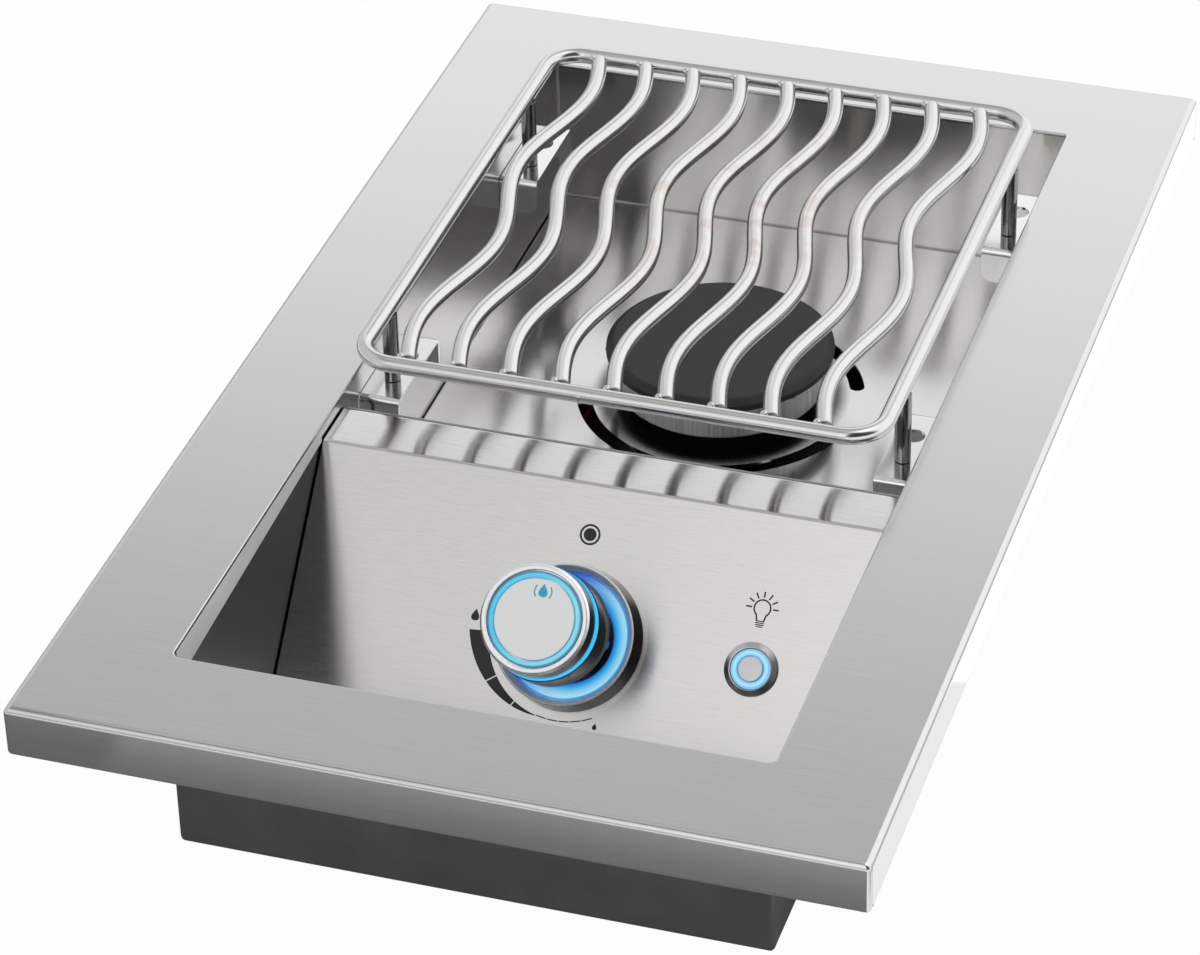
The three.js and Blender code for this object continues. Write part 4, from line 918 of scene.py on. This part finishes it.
# painted light: the faces that look up get the lighter copy
panelSheet.data.materials.append(litStripSteel)
for face in panelSheet.data.polygons:
    onStrip = face.normal.z > 0.95 and face.center.z / mm > panel["top"] - 1
    face.material_index = 1 if onStrip else 0
print("side burner: floor, brackets and control panel")


# knob, bezel and their lights; heights are measured out from the panel's face
knob = {
    "height": 61.5, "cap": 11.0, "capRadius": 23.3, "light": 3.0, "radius": 24.3, "skirt": 18.6,
    "recess": 2.4, "faceLight": (17.4, 20.1), "faceLightBelow": 0.4, "disc": 17.1, "discBelow": 0.1,
    "sideLight": (21.7, 23.85), "collar": 21.4, "hub": 17.0, "hubBase": 8.3, "bore": 5.3, "boreTop": 38.3,
    "sides": 128,
}
collarTop = knob["height"] - knob["cap"] - seat
skirtTop = collarTop - knob["light"]
faceBase = knob["height"] - knob["recess"] + seat


def onPanel(mesh):
    return moved(mesh, panelFrame)


def ringMesh(inner, outer, base, top, soft=0.15, sides=128):
    outline = [(inner, base), (outer, base), (outer, top), (inner, top)]
    return lathe(softened(outline, [0, 0, soft, soft], 4), sides)


def knobCap():
    k, top, base = knob, knob["height"], knob["height"] - knob["cap"]
    r, rim = k["capRadius"], k["faceLight"][1] + seat
    outline = [(0, base), (r - 0.5, base), (r, base + 0.5), (r, top - 1.0), (r - 1.0, top), (rim + 0.4, top),
               (rim, top - 0.4), (rim, top - k["recess"]), (0, top - k["recess"])]
    radii = [0, 0.3, 0.4, 0.8, 0.8, 0.25, 0.25, 0, 0]
    return lathe(softened(outline, radii, 5, False), k["sides"])


def faceDisc():
    k, top = knob, knob["height"] - knob["discBelow"]
    outline = [(0, faceBase), (k["disc"], faceBase), (k["disc"], top), (0, top)]
    return lathe(softened(outline, [0, 0, 0.3, 0], 4, False), 96)


def knobSkirt():
    k, r, base = knob, knob["radius"], skirtTop - knob["skirt"]
    outline = [(0, collarTop), (k["collar"], collarTop), (k["collar"], skirtTop), (r, skirtTop),
               (r, base + 1.2), (r - 1.2, base), (k["hub"], base), (k["hub"], k["hubBase"]),
               (k["bore"], k["hubBase"]), (k["bore"], k["boreTop"]), (0, k["boreTop"])]
    radii = [0, 0, 0, 0.3, 0.8, 0.8, 0.6, 0.6, 0.2, 0, 0]
    return lathe(softened(outline, radii, 5, False), k["sides"])


bezel = {
    "radius": 31.4, "height": 12.8, "taper": 1.0, "lip": 0.5, "dish": 27.5, "dishHeight": 8.3, "foot": 26.9,
    "lightInner": 19.5, "lightFoot": 26.6, "lightOuter": 27.0, "lightTop": 7.5, "lightWall": 0.8,
    "lightBowl": 25.7, "lightSheet": 2.5, "sides": 160,
}


def bezelMesh():
    b = bezel
    top, r = b["height"], b["radius"] - b["taper"]
    outline = [(b["foot"], seat), (b["radius"], seat), (r, top - b["lip"]), (r - b["lip"], top),
               (r - 2 * b["lip"], top), (b["dish"], b["dishHeight"])]
    return lathe(softened(outline, [0, 0.3, 0.25, 0.2, 0.2, 0.2], 4), b["sides"])


def bezelLightMesh():
    b, top, bowl = bezel, bezel["lightTop"], seat + bezel["lightSheet"]
    outline = [(b["lightInner"], seat), (b["lightFoot"], seat), (b["lightOuter"], top),
               (b["lightOuter"] - b["lightWall"], top), (b["lightBowl"], bowl), (b["lightInner"], bowl)]
    return lathe(softened(outline, [0, 0, 0.15, 0.15, 0.8, 0.3], 6), b["sides"])


axisPoint = tuple(c * mm for c in panelFrame.translation)
# the darkest stops at the outer edge are painted shade in the gap beside the cap's rim
faceGlow = glowFinish("faceGlow", {
    "colour": (0.1, 0.3, 0.35), "strength": 0.82, "centre": axisPoint,
    "stops": [(17.4, (0.02, 0.28, 0.52)), (17.8, (0.04, 0.44, 0.70)), (19.0, (0.05, 0.48, 0.74)),
              (19.4, (0.01, 0.12, 0.26)), (20.1, (0.004, 0.05, 0.10))],
    "paintedLightStops": [(17.4, (0.06, 0.40, 0.60)), (17.8, (0.20, 0.62, 0.80)), (19.0, (0.20, 0.62, 0.80)),
                  (19.4, (0.02, 0.16, 0.28)), (20.1, (0.01, 0.06, 0.12))],
})
dishGlow = glowFinish("dishGlow", {
    "colour": (0.02, 0.08, 0.2), "strength": 0.86, "centre": axisPoint,
    "stops": [(19.5, (0.0, 0.03, 0.22)), (22.5, (0.01, 0.12, 0.52)), (24.6, (0.01, 0.20, 0.66)),
              (25.8, (0.015, 0.10, 0.48)), (27.0, (0.015, 0.07, 0.40))],
    "paintedLightStops": [(19.5, (0.0, 0.14, 0.58)), (21.4, (0.05, 0.45, 0.84)), (23.4, (0.28, 0.68, 0.88)),
                  (25.2, (0.46, 0.79, 0.90)), (26.3, (0.20, 0.62, 0.88)), (27.0, (0.01, 0.16, 0.50))],
})
sideGlow = glowFinish("sideGlow", {
    "colour": (0.02, 0.1, 0.2), "strength": 1.0, "centre": axisPoint,
    "stops": [(21.5, (0.0, 0.05, 0.3)), (23.9, (0.0, 0.12, 0.55))],
    "paintedLightStops": [(21.5, (0.02, 0.36, 0.82)), (23.9, (0.05, 0.52, 0.88))],
})

discLook = {
    "colour": (0.78, 0.78, 0.785), "rough": (0.3, 0.36), "stretch": 0.2,
    "line": 0.3, "length": 6.0, "streak": 0.015, "bump": 0.03,
}
# painted reflection: the rim and the dish's cone get a near white, barely metallic copy of the chrome, for
# the bright light the chrome there mirrors
rimLook = {**chromeLook, "colour": (0.97, 0.97, 0.975), "metal": 0.15, "rough": (0.4, 0.46)}
# painted reflection: the bezel's outer side is a grey copy of the dark chrome, darkening to near black
# towards the lower right, for the dark surroundings it mirrors
sideLook = {
    **darkChromeLook, "colour": (0.50, 0.50, 0.50),
    "paintedShade": (0.03, 0.03, 0.03), "paintedShadeCentre": axisPoint, "paintedShadeReach": (-16.0, 14.0),
}
discSteel = brushedFinish("discSteel", discLook)
rimSteel = grainyFinish("bezelRim", rimLook)
capSteel = grainyFinish("capFace", {**chromeLook, "colour": (0.96, 0.96, 0.965), "rough": (0.32, 0.38)})
bezelSide = grainyFinish("bezelSide", sideLook)

# the knob's pieces
faceRing = ringMesh(*knob["faceLight"], faceBase, knob["height"] - knob["faceLightBelow"])
sideRing = ringMesh(*knob["sideLight"], skirtTop + seat, collarTop, 0.1)
capPiece = piece("knobCap", onPanel(knobCap()), "knob", chrome, ["knob_cap"])
piece("knobFaceLight", onPanel(faceRing), "knob", faceGlow, ["knob_face_light"])
piece("knobFaceDisc", onPanel(faceDisc()), "knob", discSteel, ["knob_face_disc"])
piece("knobSideLight", onPanel(sideRing), "knob", sideGlow, ["knob_side_light"])
piece("knobSkirt", onPanel(knobSkirt()), "knob", darkChrome, ["knob_skirt"])
bezelPiece = piece("knobBezel", onPanel(bezelMesh()), "body", chrome, ["knob_bezel"])

stemSpring = {"radius": 7.2, "wire": 0.4, "turns": 2.5, "low": 0.3, "high": 6.7, "pressed": 0.45}


def stemSpringMesh(stepsInTurn=32):
    s = stemSpring
    base, steps = s["low"] + s["wire"], round(s["turns"] * stepsInTurn)
    rise = s["high"] - s["wire"] - base
    turns = [2 * math.pi * i / stepsInTurn for i in range(steps + 1)]
    r, last = s["radius"], turns[-1]
    return sweep([(r * math.cos(a), r * math.sin(a), base + rise * a / last) for a in turns], s["wire"], 12)


springPiece = piece("stemSpring", onPanel(stemSpringMesh()), "body", springSteel,
                    ["stem_spring"])
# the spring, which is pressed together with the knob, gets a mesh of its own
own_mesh(springPiece)


def finishByPlace(obj, material, chosen):
    # a second finish for the faces whose distance from the knob's axis and height are chosen
    obj.data.materials.append(material)
    turnBack = panelFrame.inverted()
    for face in obj.data.polygons:
        place = turnBack @ (face.center / mm)
        if chosen(math.hypot(place.x, place.y), place.z):
            face.material_index = len(obj.data.materials) - 1


capSide, capEdge = knob["capRadius"] - 0.45, knob["height"] - 1.1
bezelEdge, bezelTop = bezel["radius"] - 1.2, bezel["height"] - 0.3
dishEdge, dishLow = bezel["dish"] - 0.1, bezel["dishHeight"] - 0.1
finishByPlace(capPiece, darkChrome, lambda r, h: r > capSide and h < capEdge)
finishByPlace(capPiece, capSteel, lambda r, h: r > knob["faceLight"][1] and h > capEdge)
finishByPlace(bezelPiece, bezelSide, lambda r, h: r > bezelEdge and h < bezelTop)
finishByPlace(bezelPiece, rimSteel,
              lambda r, h: r > dishEdge and h > dishLow and (r < bezelEdge or h > bezelTop))
piece("bezelLight", onPanel(bezelLightMesh()), "body", dishGlow, ["bezel_light_ring"])


# light switch
switch = {
    "radius": 11.5, "height": 2.6, "edge": 1.2, "chamfer": 0.45, "bore": 8.8, "barrel": 9.2,
    "length": 20.0, "depth": 4.2, "button": 8.5, "buttonBase": -1.8, "step": 0.6, "face": 5.4,
    "faceTop": 2.2, "crown": 0.1, "lightTop": 2.1, "sides": 96,
}


def onSwitch(mesh):
    return moved(mesh, switchFrame)


def switchBezelMesh():
    s = switch
    outline = [(0, -s["length"]), (s["barrel"], -s["length"]), (s["barrel"], seat), (s["radius"], seat),
               (s["radius"], s["edge"]), (s["bore"] + s["chamfer"], s["height"]), (s["bore"], s["height"]),
               (s["bore"], -s["depth"]), (0, -s["depth"])]
    return lathe(softened(outline, [0, 0.3, 0, 0.1, 0.4, 0.35, 0.15, 0, 0], 5, False), s["sides"])


def buttonMesh():
    s = switch
    outline = [(0, s["buttonBase"]), (s["button"], s["buttonBase"]), (s["button"], s["step"]),
               (s["face"], s["step"]), (s["face"], s["faceTop"]), (0, s["faceTop"] + s["crown"])]
    return lathe(softened(outline, [0, 0, 0.1, 0, 0.35, 0], 4, False), s["sides"])


def switchLightMesh():
    s = switch
    return ringMesh(s["face"] + seat, s["button"], s["step"] + seat, s["lightTop"], 0.3, s["sides"])


switchPoint = tuple(c * mm for c in switchFrame.translation)
switchGlow = glowFinish("switchGlow", {
    "colour": (0.1, 0.3, 0.4), "strength": 1.0, "centre": switchPoint,
    "stops": [(5.6, (0.05, 0.24, 0.56)), (6.2, (0.20, 0.56, 0.78)), (7.2, (0.36, 0.70, 0.84)),
              (7.9, (0.12, 0.40, 0.70)), (8.5, (0.30, 0.45, 0.66))],
})
# painted shade: the switch bezel darkens towards its lower right
switchSteel = grainyFinish("switchSteel", {
    **chromeLook, "colour": (0.66, 0.65, 0.65), "rough": (0.26, 0.32),
    "paintedShade": (0.26, 0.26, 0.26), "paintedShadeCentre": switchPoint, "paintedShadeReach": (-10.0, 10.0),
})
buttonSteel = brushedFinish("buttonSteel", {**discLook, "colour": (0.66, 0.66, 0.67), "streak": 0.05})
piece("switchBezel", onSwitch(switchBezelMesh()), "body", switchSteel, ["switch_bezel"])
piece("switchButton", onSwitch(buttonMesh()), "light_button", buttonSteel, ["switch_button"])
piece("switchLight", onSwitch(switchLightMesh()), "light_button", switchGlow,
      ["switch_light_ring"])
print("side burner: knob, bezel and switch")


# printed marks: plain signs without words; places are measured on the panel from the knob's axis
marks = {
    "ink": (0.02, 0.07),
    "off": (-0.3, 44.8), "offRing": (3.65, 4.55), "offDot": 2.8,
    "arcFrom": 184.0, "arcTo": 256.0, "arcInner": 35.6, "arcLeast": 35.9, "arcGrowth": 8.7,
    "arcCuts": (216.0, 238.0), "arcCut": 0.4, "tail": (35.2, 35.7), "tailTo": 297.0, "tailParts": 5,
    "drops": ((-43.0, 3.2, 4.2), (17.6, -35.0, 2.3)), "dropWidthShare": 0.62,
    "bulb": (79.2, 26.1), "bulbRadius": 3.55, "bulbArc": (-52, 232), "bulbFoot": (1.5, 5.4), "line": 0.33,
    "bulbLines": ((5.5, 1.8), (6.3, 1.85), (7.1, 1.75), (7.9, 1.3)),
    "rays": 7, "rayFrom": 1.0, "rayStep": 29.8, "rayReach": (1.1, 3.4),
    "sign": (1.6, 12.3, 4.6), "signInk": (0.05, 0.12), "signArc": (3.4, 3.95), "signArcBelow": 0.6,
    "signArcStarts": (140, -40), "signArcLength": 80,
}


def bandMesh(inner, outer, start, end, steps, place=(0, 0)):
    # a flat band round a point; each radius is a number or a function of the angle
    outline = []
    for radius, first, last in ((outer, start, end), (inner, end, start)):
        for i in range(steps + 1):
            angle = first + (last - first) * i / steps
            r, turn = radius(angle) if callable(radius) else radius, math.radians(angle)
            outline.append((place[0] + r * math.cos(turn), place[1] + r * math.sin(turn)))
    return prism(outline, *marks["ink"])


def strokeMesh(points, width):
    # a printed line of even width through flat points
    made = []
    for a, b in zip(points, points[1:]):
        a, b = Vector(a), Vector(b)
        along = (b - a).normalized() * width * 0.4
        side = Vector((-(b - a).y, (b - a).x)).normalized() * width
        corners = [a - along + side, a - along - side, b + along - side, b + along + side]
        made.append(prism([tuple(c) for c in corners], *marks["ink"]))
    return merged(made)


def dropOutline(x, y, size, steps=28):
    # a teardrop, point up
    half = size * marks["dropWidthShare"]
    turns = [2 * math.pi * k / steps for k in range(steps)]
    return [(x - half * math.sin(t) * math.sin(t / 2) ** 1.6, y + half * math.cos(t)) for t in turns]


def arcParts():
    m = marks
    edges = [m["arcFrom"], *m["arcCuts"], m["arcTo"]]

    def outer(angle):
        return m["arcLeast"] + m["arcGrowth"] * (m["arcTo"] - angle) / (m["arcTo"] - m["arcFrom"])

    cut, step = m["arcCut"], (m["tailTo"] - m["arcTo"]) / m["tailParts"]
    parts = [bandMesh(m["arcInner"], outer, a + cut, b - cut, 24) for a, b in zip(edges, edges[1:])]
    starts = [m["arcTo"] + k * step for k in range(m["tailParts"])]
    return parts + [bandMesh(*m["tail"], start + cut, start + step - cut, 8) for start in starts]


def bulbParts():
    m = marks
    (x, y), r, line = m["bulb"], m["bulbRadius"], m["line"]
    half, drop = m["bulbFoot"]
    glass = arc((x, y), r, *m["bulbArc"], 28)
    parts = [strokeMesh([(x + half, y - drop), *glass, (x - half, y - drop)], line)]
    for drop, half in m["bulbLines"]:
        parts.append(strokeMesh([(x - half, y - drop), (x + half, y - drop)], line * 0.7))
    for k in range(m["rays"]):
        angle = math.radians(m["rayFrom"] + k * m["rayStep"])
        ends = [(x + math.cos(angle) * (r + far), y + math.sin(angle) * (r + far)) for far in m["rayReach"]]
        parts.append(strokeMesh(ends, line))
    return parts


def makeMarks():
    m = marks
    parts = [bandMesh(*m["offRing"], a, a + 120, 16, m["off"]) for a in (0, 120, 240)]
    parts.append(prism(circle(m["offDot"], 40, m["off"]), *m["ink"]))
    parts += arcParts() + bulbParts()
    parts += [prism(dropOutline(*drop), *m["ink"]) for drop in m["drops"]]
    piece("panelMarks", onPanel(merged(parts)), "body", ink)


def makeKnobSign():
    m, (x, y, size) = marks, marks["sign"]
    sign = [prism(dropOutline(x, y, size), *m["signInk"])]
    sign += [bandMesh(*m["signArc"], start, start + m["signArcLength"], 12, (x, y - m["signArcBelow"]))
             for start in m["signArcStarts"]]
    onDisc = Matrix.Translation((0, 0, knob["height"] - knob["discBelow"]))
    piece("knobPointer", onPanel(moved(merged(sign), onDisc)), "knob", pointerInk)


makeMarks()
makeKnobSign()


# burner
burner = {
    "head": 48.0, "wall": 4.5, "base": 25.0, "top": 41.5, "deck": 3.0, "bore": 18.0,
    "ports": 24, "portWidth": 1.8, "portDepth": 3.5, "portReach": 8.5,
}
burnerCap = {
    "radius": 52.4, "base": 41.8, "top": 47.6, "bevel": ((3.5, 0.0), (0.9, 1.9), (0.0, 2.6)), "foot": 0.8,
    "rim": (42.9, 39.9), "rimDepth": 3.4, "inside": 2.0,
}
onBurner = Matrix.Translation((*burnerMiddle, 0))


def headMesh():
    b = burner
    inner, deck = b["head"] - b["wall"], b["base"] + b["deck"]
    outline = [(b["bore"], b["base"]), (b["head"], b["base"]), (b["head"], b["top"]), (inner, b["top"]),
               (inner, deck), (b["bore"], deck)]
    return moved(lathe(softened(outline, [0.3, 1.5, 0.4, 0.4, 1.0, 0.3], 5), 144), onBurner)


def portCuts():
    b, half, reach = burner, burner["portWidth"] / 2, burner["portReach"] / 2
    middle = b["head"] - b["wall"] / 2
    slot = slab(middle - reach, middle + reach, -half, half, b["top"] - b["portDepth"], b["top"] + overrun)
    turns = [Matrix.Rotation(2 * math.pi * k / b["ports"], 4, "Z") for k in range(b["ports"])]
    return [moved(slot, onBurner @ turn) for turn in turns]


def capMesh():
    c = burnerCap
    top, base, r, foot = c["top"], c["base"], c["radius"], c["foot"]
    outer, inner = c["rim"]
    outline = [(0, top)] + [(r - back, top - down) for back, down in c["bevel"]]
    outline += [(r, base + foot), (r - foot, base), (outer, base), (outer, base - c["rimDepth"]),
                (inner, base - c["rimDepth"]), (inner, base + c["inside"]), (0, base + c["inside"])]
    radii = [0, 3.0, 1.2, 0.5, 0.4, 0.4, 0.2, 0.3, 0.3, 0.2, 0]
    return moved(lathe(softened(outline, radii, 6, False), 160), onBurner)


headSteel = brushedFinish("headSteel", {
    **steelLook, "colour": (0.84, 0.84, 0.83), "rough": (0.34, 0.46), "stretch": 0.3, "metal": 0.6,
    "line": 1.6, "length": 60.0, "streak": 0.30, "bump": 0.3, "upright": 1.0,
})
piece("burnerHead", headMesh(), "body", headSteel, ["burner_head"], cuts=portCuts())
piece("burnerCap", capMesh(), "burner_cap", enamel, ["burner_cap"])


# grate
grate = {
    "rod": 3.7, "z": 117.0, "halfX": 116.0, "front": -59.0, "rear": 218.0, "corner": 16.0,
    "rods": 9, "pitch": 23.15, "wave": 6.3, "length": 135.0, "peak": 182.0, "shift": 0.7, "thinner": 0.05,
    "leg": 3.6, "feet": {"front": -15.5, "rear": 176.5},
    "bead": 2.0, "beadFlatShare": 0.75, "beadInShare": 0.3, "beadAlong": 0.4, "beadUp": 1.8,
    "weldX": -14.0, "weldDrop": 0.2,
    "weld": ((-0.2, -1.1), (0.1, -0.7), (0.18, 0.0), (0.1, 0.7), (-0.2, 1.1)),
}


def frameWire():
    g, x, z = grate, grate["halfX"], grate["z"]
    corners = [(x, g["front"], z), (x, g["rear"], z), (-x, g["rear"], z), (-x, g["front"], z)]
    return sweep(roundedPath(corners, g["corner"], 16), g["rod"], 32, True)


def buttWeld():
    # where the frame's wire was closed, in the front bar
    g = grate
    place = Matrix.Translation((g["weldX"], g["front"], g["z"] - g["weldDrop"]))
    ring = lathe([(g["rod"] + out, along) for out, along in g["weld"]], 32)
    return moved(ring, place @ Matrix.Rotation(math.pi / 2, 4, "Y"))


def wavyPath(k, steps=96):
    g = grate
    x = g["pitch"] * (k - (g["rods"] - 1) / 2) - g["shift"]
    start, end = g["front"] + g["rod"] + seat, g["rear"] - g["rod"] - seat
    made = []
    for i in range(steps + 1):
        y = start + (end - start) * i / steps
        made.append((x + g["wave"] * math.cos((y - g["peak"]) / g["length"] * 2 * math.pi), y, g["z"]))
    return made


def bead(x, y, z):
    # a small weld, a little flatter than a ball
    angles = [math.radians(degrees) for degrees in range(-75, 90, 15)]
    outline = [(0, -1), *[(math.cos(a), math.sin(a)) for a in angles], (0, 1)]
    size, height = grate["bead"], grate["bead"] * grate["beadFlatShare"]
    return moved(lathe([(r * size, up * height) for r, up in outline], 16), Matrix.Translation((x, y, z)))


def rodMesh(k):
    # a wavy rod, with a bead on the left at each end
    g, path = grate, wavyPath(k)
    parts = [sweep(path, g["rod"] - g["thinner"], 28)]
    side = g["rod"] - g["bead"] * g["beadInShare"]
    for (x, y, z), inwards in ((path[0], g["beadAlong"]), (path[-1], -g["beadAlong"])):
        parts.append(bead(x - side, y + inwards, z + g["beadUp"]))
    return merged(parts)


def legMesh(x, y):
    r, low, high = grate["leg"], bracket["top"] + seat, grate["z"] - grate["rod"] - seat
    outline = [(0, low), (r, low), (r, high), (0, high)]
    return moved(lathe(softened(outline, [0, 0.35, 0.2, 0], 4, False), 40), Matrix.Translation((x, y, 0)))


# painted reflection: the legs are a darkened copy of the chrome, for the dark box interior they mirror
shadedLegSteel = grainyFinish("shadedLegSteel", {**chromeLook, "colour": (0.32, 0.315, 0.31), "rough": (0.16, 0.24)})
piece("grateFrame", merged([frameWire(), buttWeld()]), "grate", wire, ["grate_frame"])
for k in range(grate["rods"]):
    piece(f"grateRod{k + 1}", rodMesh(k), "grate", wire, [f"grate_rod_{k + 1}"])
for end, y in grate["feet"].items():
    for hand, side in (("left", -1), ("right", 1)):
        piece("grateLeg" + end.capitalize() + hand.capitalize(), legMesh(side * grate["halfX"], y), "grate",
              shadedLegSteel, [f"grate_leg_{end}_{hand}"])
print("side burner: burner and grate")


# CAD nodes that keep their shape, by finish
kept = (
    (zinc, ["divider_plate", "floor_rail_left", "floor_rail_right", "mixer_tube", "air_shutter",
            "switch_nut"]),
    (brass, ["valve_stem", "valve_body", "gas_orifice", "gas_inlet_fitting", "gas_inlet_lock_nut",
             "switch_terminals"]),
    (casting, ["valve_bonnet", "burner_base", "supply_tube"]),
    (springSteel, ["stem_spring_seat", "igniter_electrode"]),
    (plastic, ["spark_module", "light_power_socket", "light_lead"]),
    (chrome, ["valve_screw_left", "valve_screw_right"]),
    (ceramic, ["igniter_body"]),
    (leadJacket, ["ignition_lead"]),
)
for material, names in kept:
    for name in names:
        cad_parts[name].data.materials.clear()
        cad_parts[name].data.materials.append(material)


# studio: pale floor, soft light
studio = {
    "floorSize": 40.0, "floorColour": (0.86, 0.86, 0.86), "floorWhite": 0.97, "floorZ": -0.5,
    # brightness by the angle round X, from the back over the top to the front, in degrees
    "sky": ((0, 0.9), (16, 0.95), (24, 1.18), (28, 1.22), (31, 1.18), (34.2, 0.99), (37.2, 0.64),
            (39.4, 0.49), (50, 0.5), (62, 0.46), (78, 0.3), (98, 0.28), (112, 0.6), (124, 1.0),
            (134, 1.12), (146, 1.2), (158, 0.95), (170, 0.6), (180, 0.4)),
    # the front half fades to the left: from where to where, and how bright at both ends
    "front": (0.0, -0.2), "frontFade": (-0.29, -0.20, 0.78, 1.03),
    # the lit sides: from how far left or right they start and end to fade in, and how bright they are
    "leftSide": (-0.42, -0.56, 0.7), "rightSide": (-0.04, 0.14, 1.2),
    # the unlit part, front right: where it fades in along X, Y and Z, and how bright it is
    "darkReach": ((0.0, 0.16), (0.05, -0.2), (0.2, 0.42)), "dark": 0.05,
    "lampPlace": (0.1, 0.1, 2.0), "lampSize": (2.0, 1.2), "lampPower": 2.2,
    "cardRise": 0.2,
    # what the steel mirrors on the floor, as painted reflections: dark sheets for the shade round and in
    # front of the box, bright ones for lit floor on the right; left, front, right and rear edge in mm, and
    # brightness
    "reflectionCards": {
        "front": (-420, -397, 178, -240, 0.18), "frontFar": (-420, -560, 178, -397, 0.36),
        "right": (118, -240, 178, 262, 0.12), "left": (-178, -240, -118, 262, 0.15),
        "rear": (-178, 262, 178, 300, 0.22), "leftFar": (-700, -420, -180, 620, 0.15),
        "rightNear": (196, -420, 270, -60, 1.05), "rightFar": (196, -60, 270, 620, 1.45),
        "rightWide": (270, -420, 900, 620, 0.6),
    },
}


def flatSheet(name, left, front, right, rear, z, material):
    data = bpy.data.meshes.new(name)
    corners = [(left, front, z), (right, front, z), (right, rear, z), (left, rear, z)]
    data.from_pydata([tuple(c * mm for c in corner) for corner in corners], [], [(0, 1, 2, 3)])
    data.materials.append(material)
    obj = bpy.data.objects.new(name, data)
    scene.collection.objects.link(obj)
    return obj


def floorFinish():
    # shows as white to the camera and in mirrors, and keeps part of the object's shadow
    material, tree = newTree("paleFloor")
    ray = node(tree, "ShaderNodeLightPath").outputs
    seen = math1(tree, "MAXIMUM", ray["Is Camera Ray"], ray["Is Glossy Ray"])
    seen = math1(tree, "MAXIMUM", seen, ray["Is Transmission Ray"])
    mix = node(tree, "ShaderNodeMixShader", {
        0: math1(tree, "MULTIPLY", seen, studio["floorWhite"]),
        1: node(tree, "ShaderNodeBsdfDiffuse", {"Color": studio["floorColour"]}).outputs[0],
        2: node(tree, "ShaderNodeEmission").outputs[0],
    })
    node(tree, "ShaderNodeOutputMaterial", {"Surface": mix.outputs[0]})
    return material


def makeFloor():
    half = studio["floorSize"] / 2 / mm
    flatSheet("floorPlane", -half, -half, half, half, studio["floorZ"], floorFinish())


def makePaintedReflections():
    # painted reflections and shade: sheets on the floor seen only in the metal
    for name, (left, front, right, rear, level) in studio["reflectionCards"].items():
        material, tree = newTree(name + "Card")
        glow = node(tree, "ShaderNodeEmission", {"Strength": level})
        node(tree, "ShaderNodeOutputMaterial", {"Surface": glow.outputs[0]})
        z = studio["floorZ"] + studio["cardRise"]
        card = flatSheet(name + "Card", left, front, right, rear, z, material)
        card.visible_camera = card.visible_diffuse = card.visible_transmission = False
        card.visible_volume_scatter = card.visible_shadow = False


def makeLamp():
    data = bpy.data.lights.new("overhead", "AREA")
    data.shape, data.energy = "RECTANGLE", studio["lampPower"]
    data.size, data.size_y = studio["lampSize"]
    obj = bpy.data.objects.new("overhead", data)
    obj.location = studio["lampPlace"]
    scene.collection.objects.link(obj)


def skyCurve(tree, turn, top):
    # the brightness over half a turn, as a share of the brightest
    ramp = node(tree, "ShaderNodeFloatCurve", {"Value": turn})
    curve = ramp.mapping.curves[0]
    for i, (degrees, level) in enumerate(studio["sky"]):
        place = (degrees / 180, level / top)
        if i < 2:
            curve.points[i].location = place
        else:
            curve.points.new(*place)
    for point in curve.points:
        point.handle_type = "AUTO_CLAMPED"
    ramp.mapping.update()
    return ramp.outputs[0]


def makeSky():
    world = bpy.data.worlds.new("studioSky")
    world.use_nodes = True
    scene.world = world
    tree, s = world.node_tree, studio
    way = node(tree, "ShaderNodeSeparateXYZ", {0: node(tree, "ShaderNodeTexCoord").outputs["Generated"]})
    x, y, z = way.outputs
    top = max(level for _, level in s["sky"])
    turn = math1(tree, "DIVIDE", math1(tree, "ARCTAN2", z, y), math.pi)
    bright = math1(tree, "MULTIPLY", skyCurve(tree, turn, top), top)
    ahead = mapped(tree, y, *s["front"], soft=True)
    fade = mapped(tree, x, *s["frontFade"])
    bright = math1(tree, "MULTIPLY", bright, mixed(tree, ahead, 1.0, fade))
    for start, end, level in (s["leftSide"], s["rightSide"]):
        bright = mixed(tree, mapped(tree, x, start, end, soft=True), bright, level)
    shares = [mapped(tree, value, *reach, soft=True) for value, reach in zip((x, y, z), s["darkReach"])]
    unlit = math1(tree, "MULTIPLY", math1(tree, "MULTIPLY", shares[0], shares[1]), shares[2])
    bright = mixed(tree, unlit, bright, s["dark"])
    seen = mixed(tree, node(tree, "ShaderNodeLightPath").outputs["Is Camera Ray"], bright, 1.0)
    put(tree, tree.nodes["Background"].inputs["Color"], (1, 1, 1))
    put(tree, tree.nodes["Background"].inputs["Strength"], seen)


makeFloor()
makePaintedReflections()
makeLamp()
makeSky()
scene.view_settings.view_transform = "Standard"
print("side burner: studio ready")
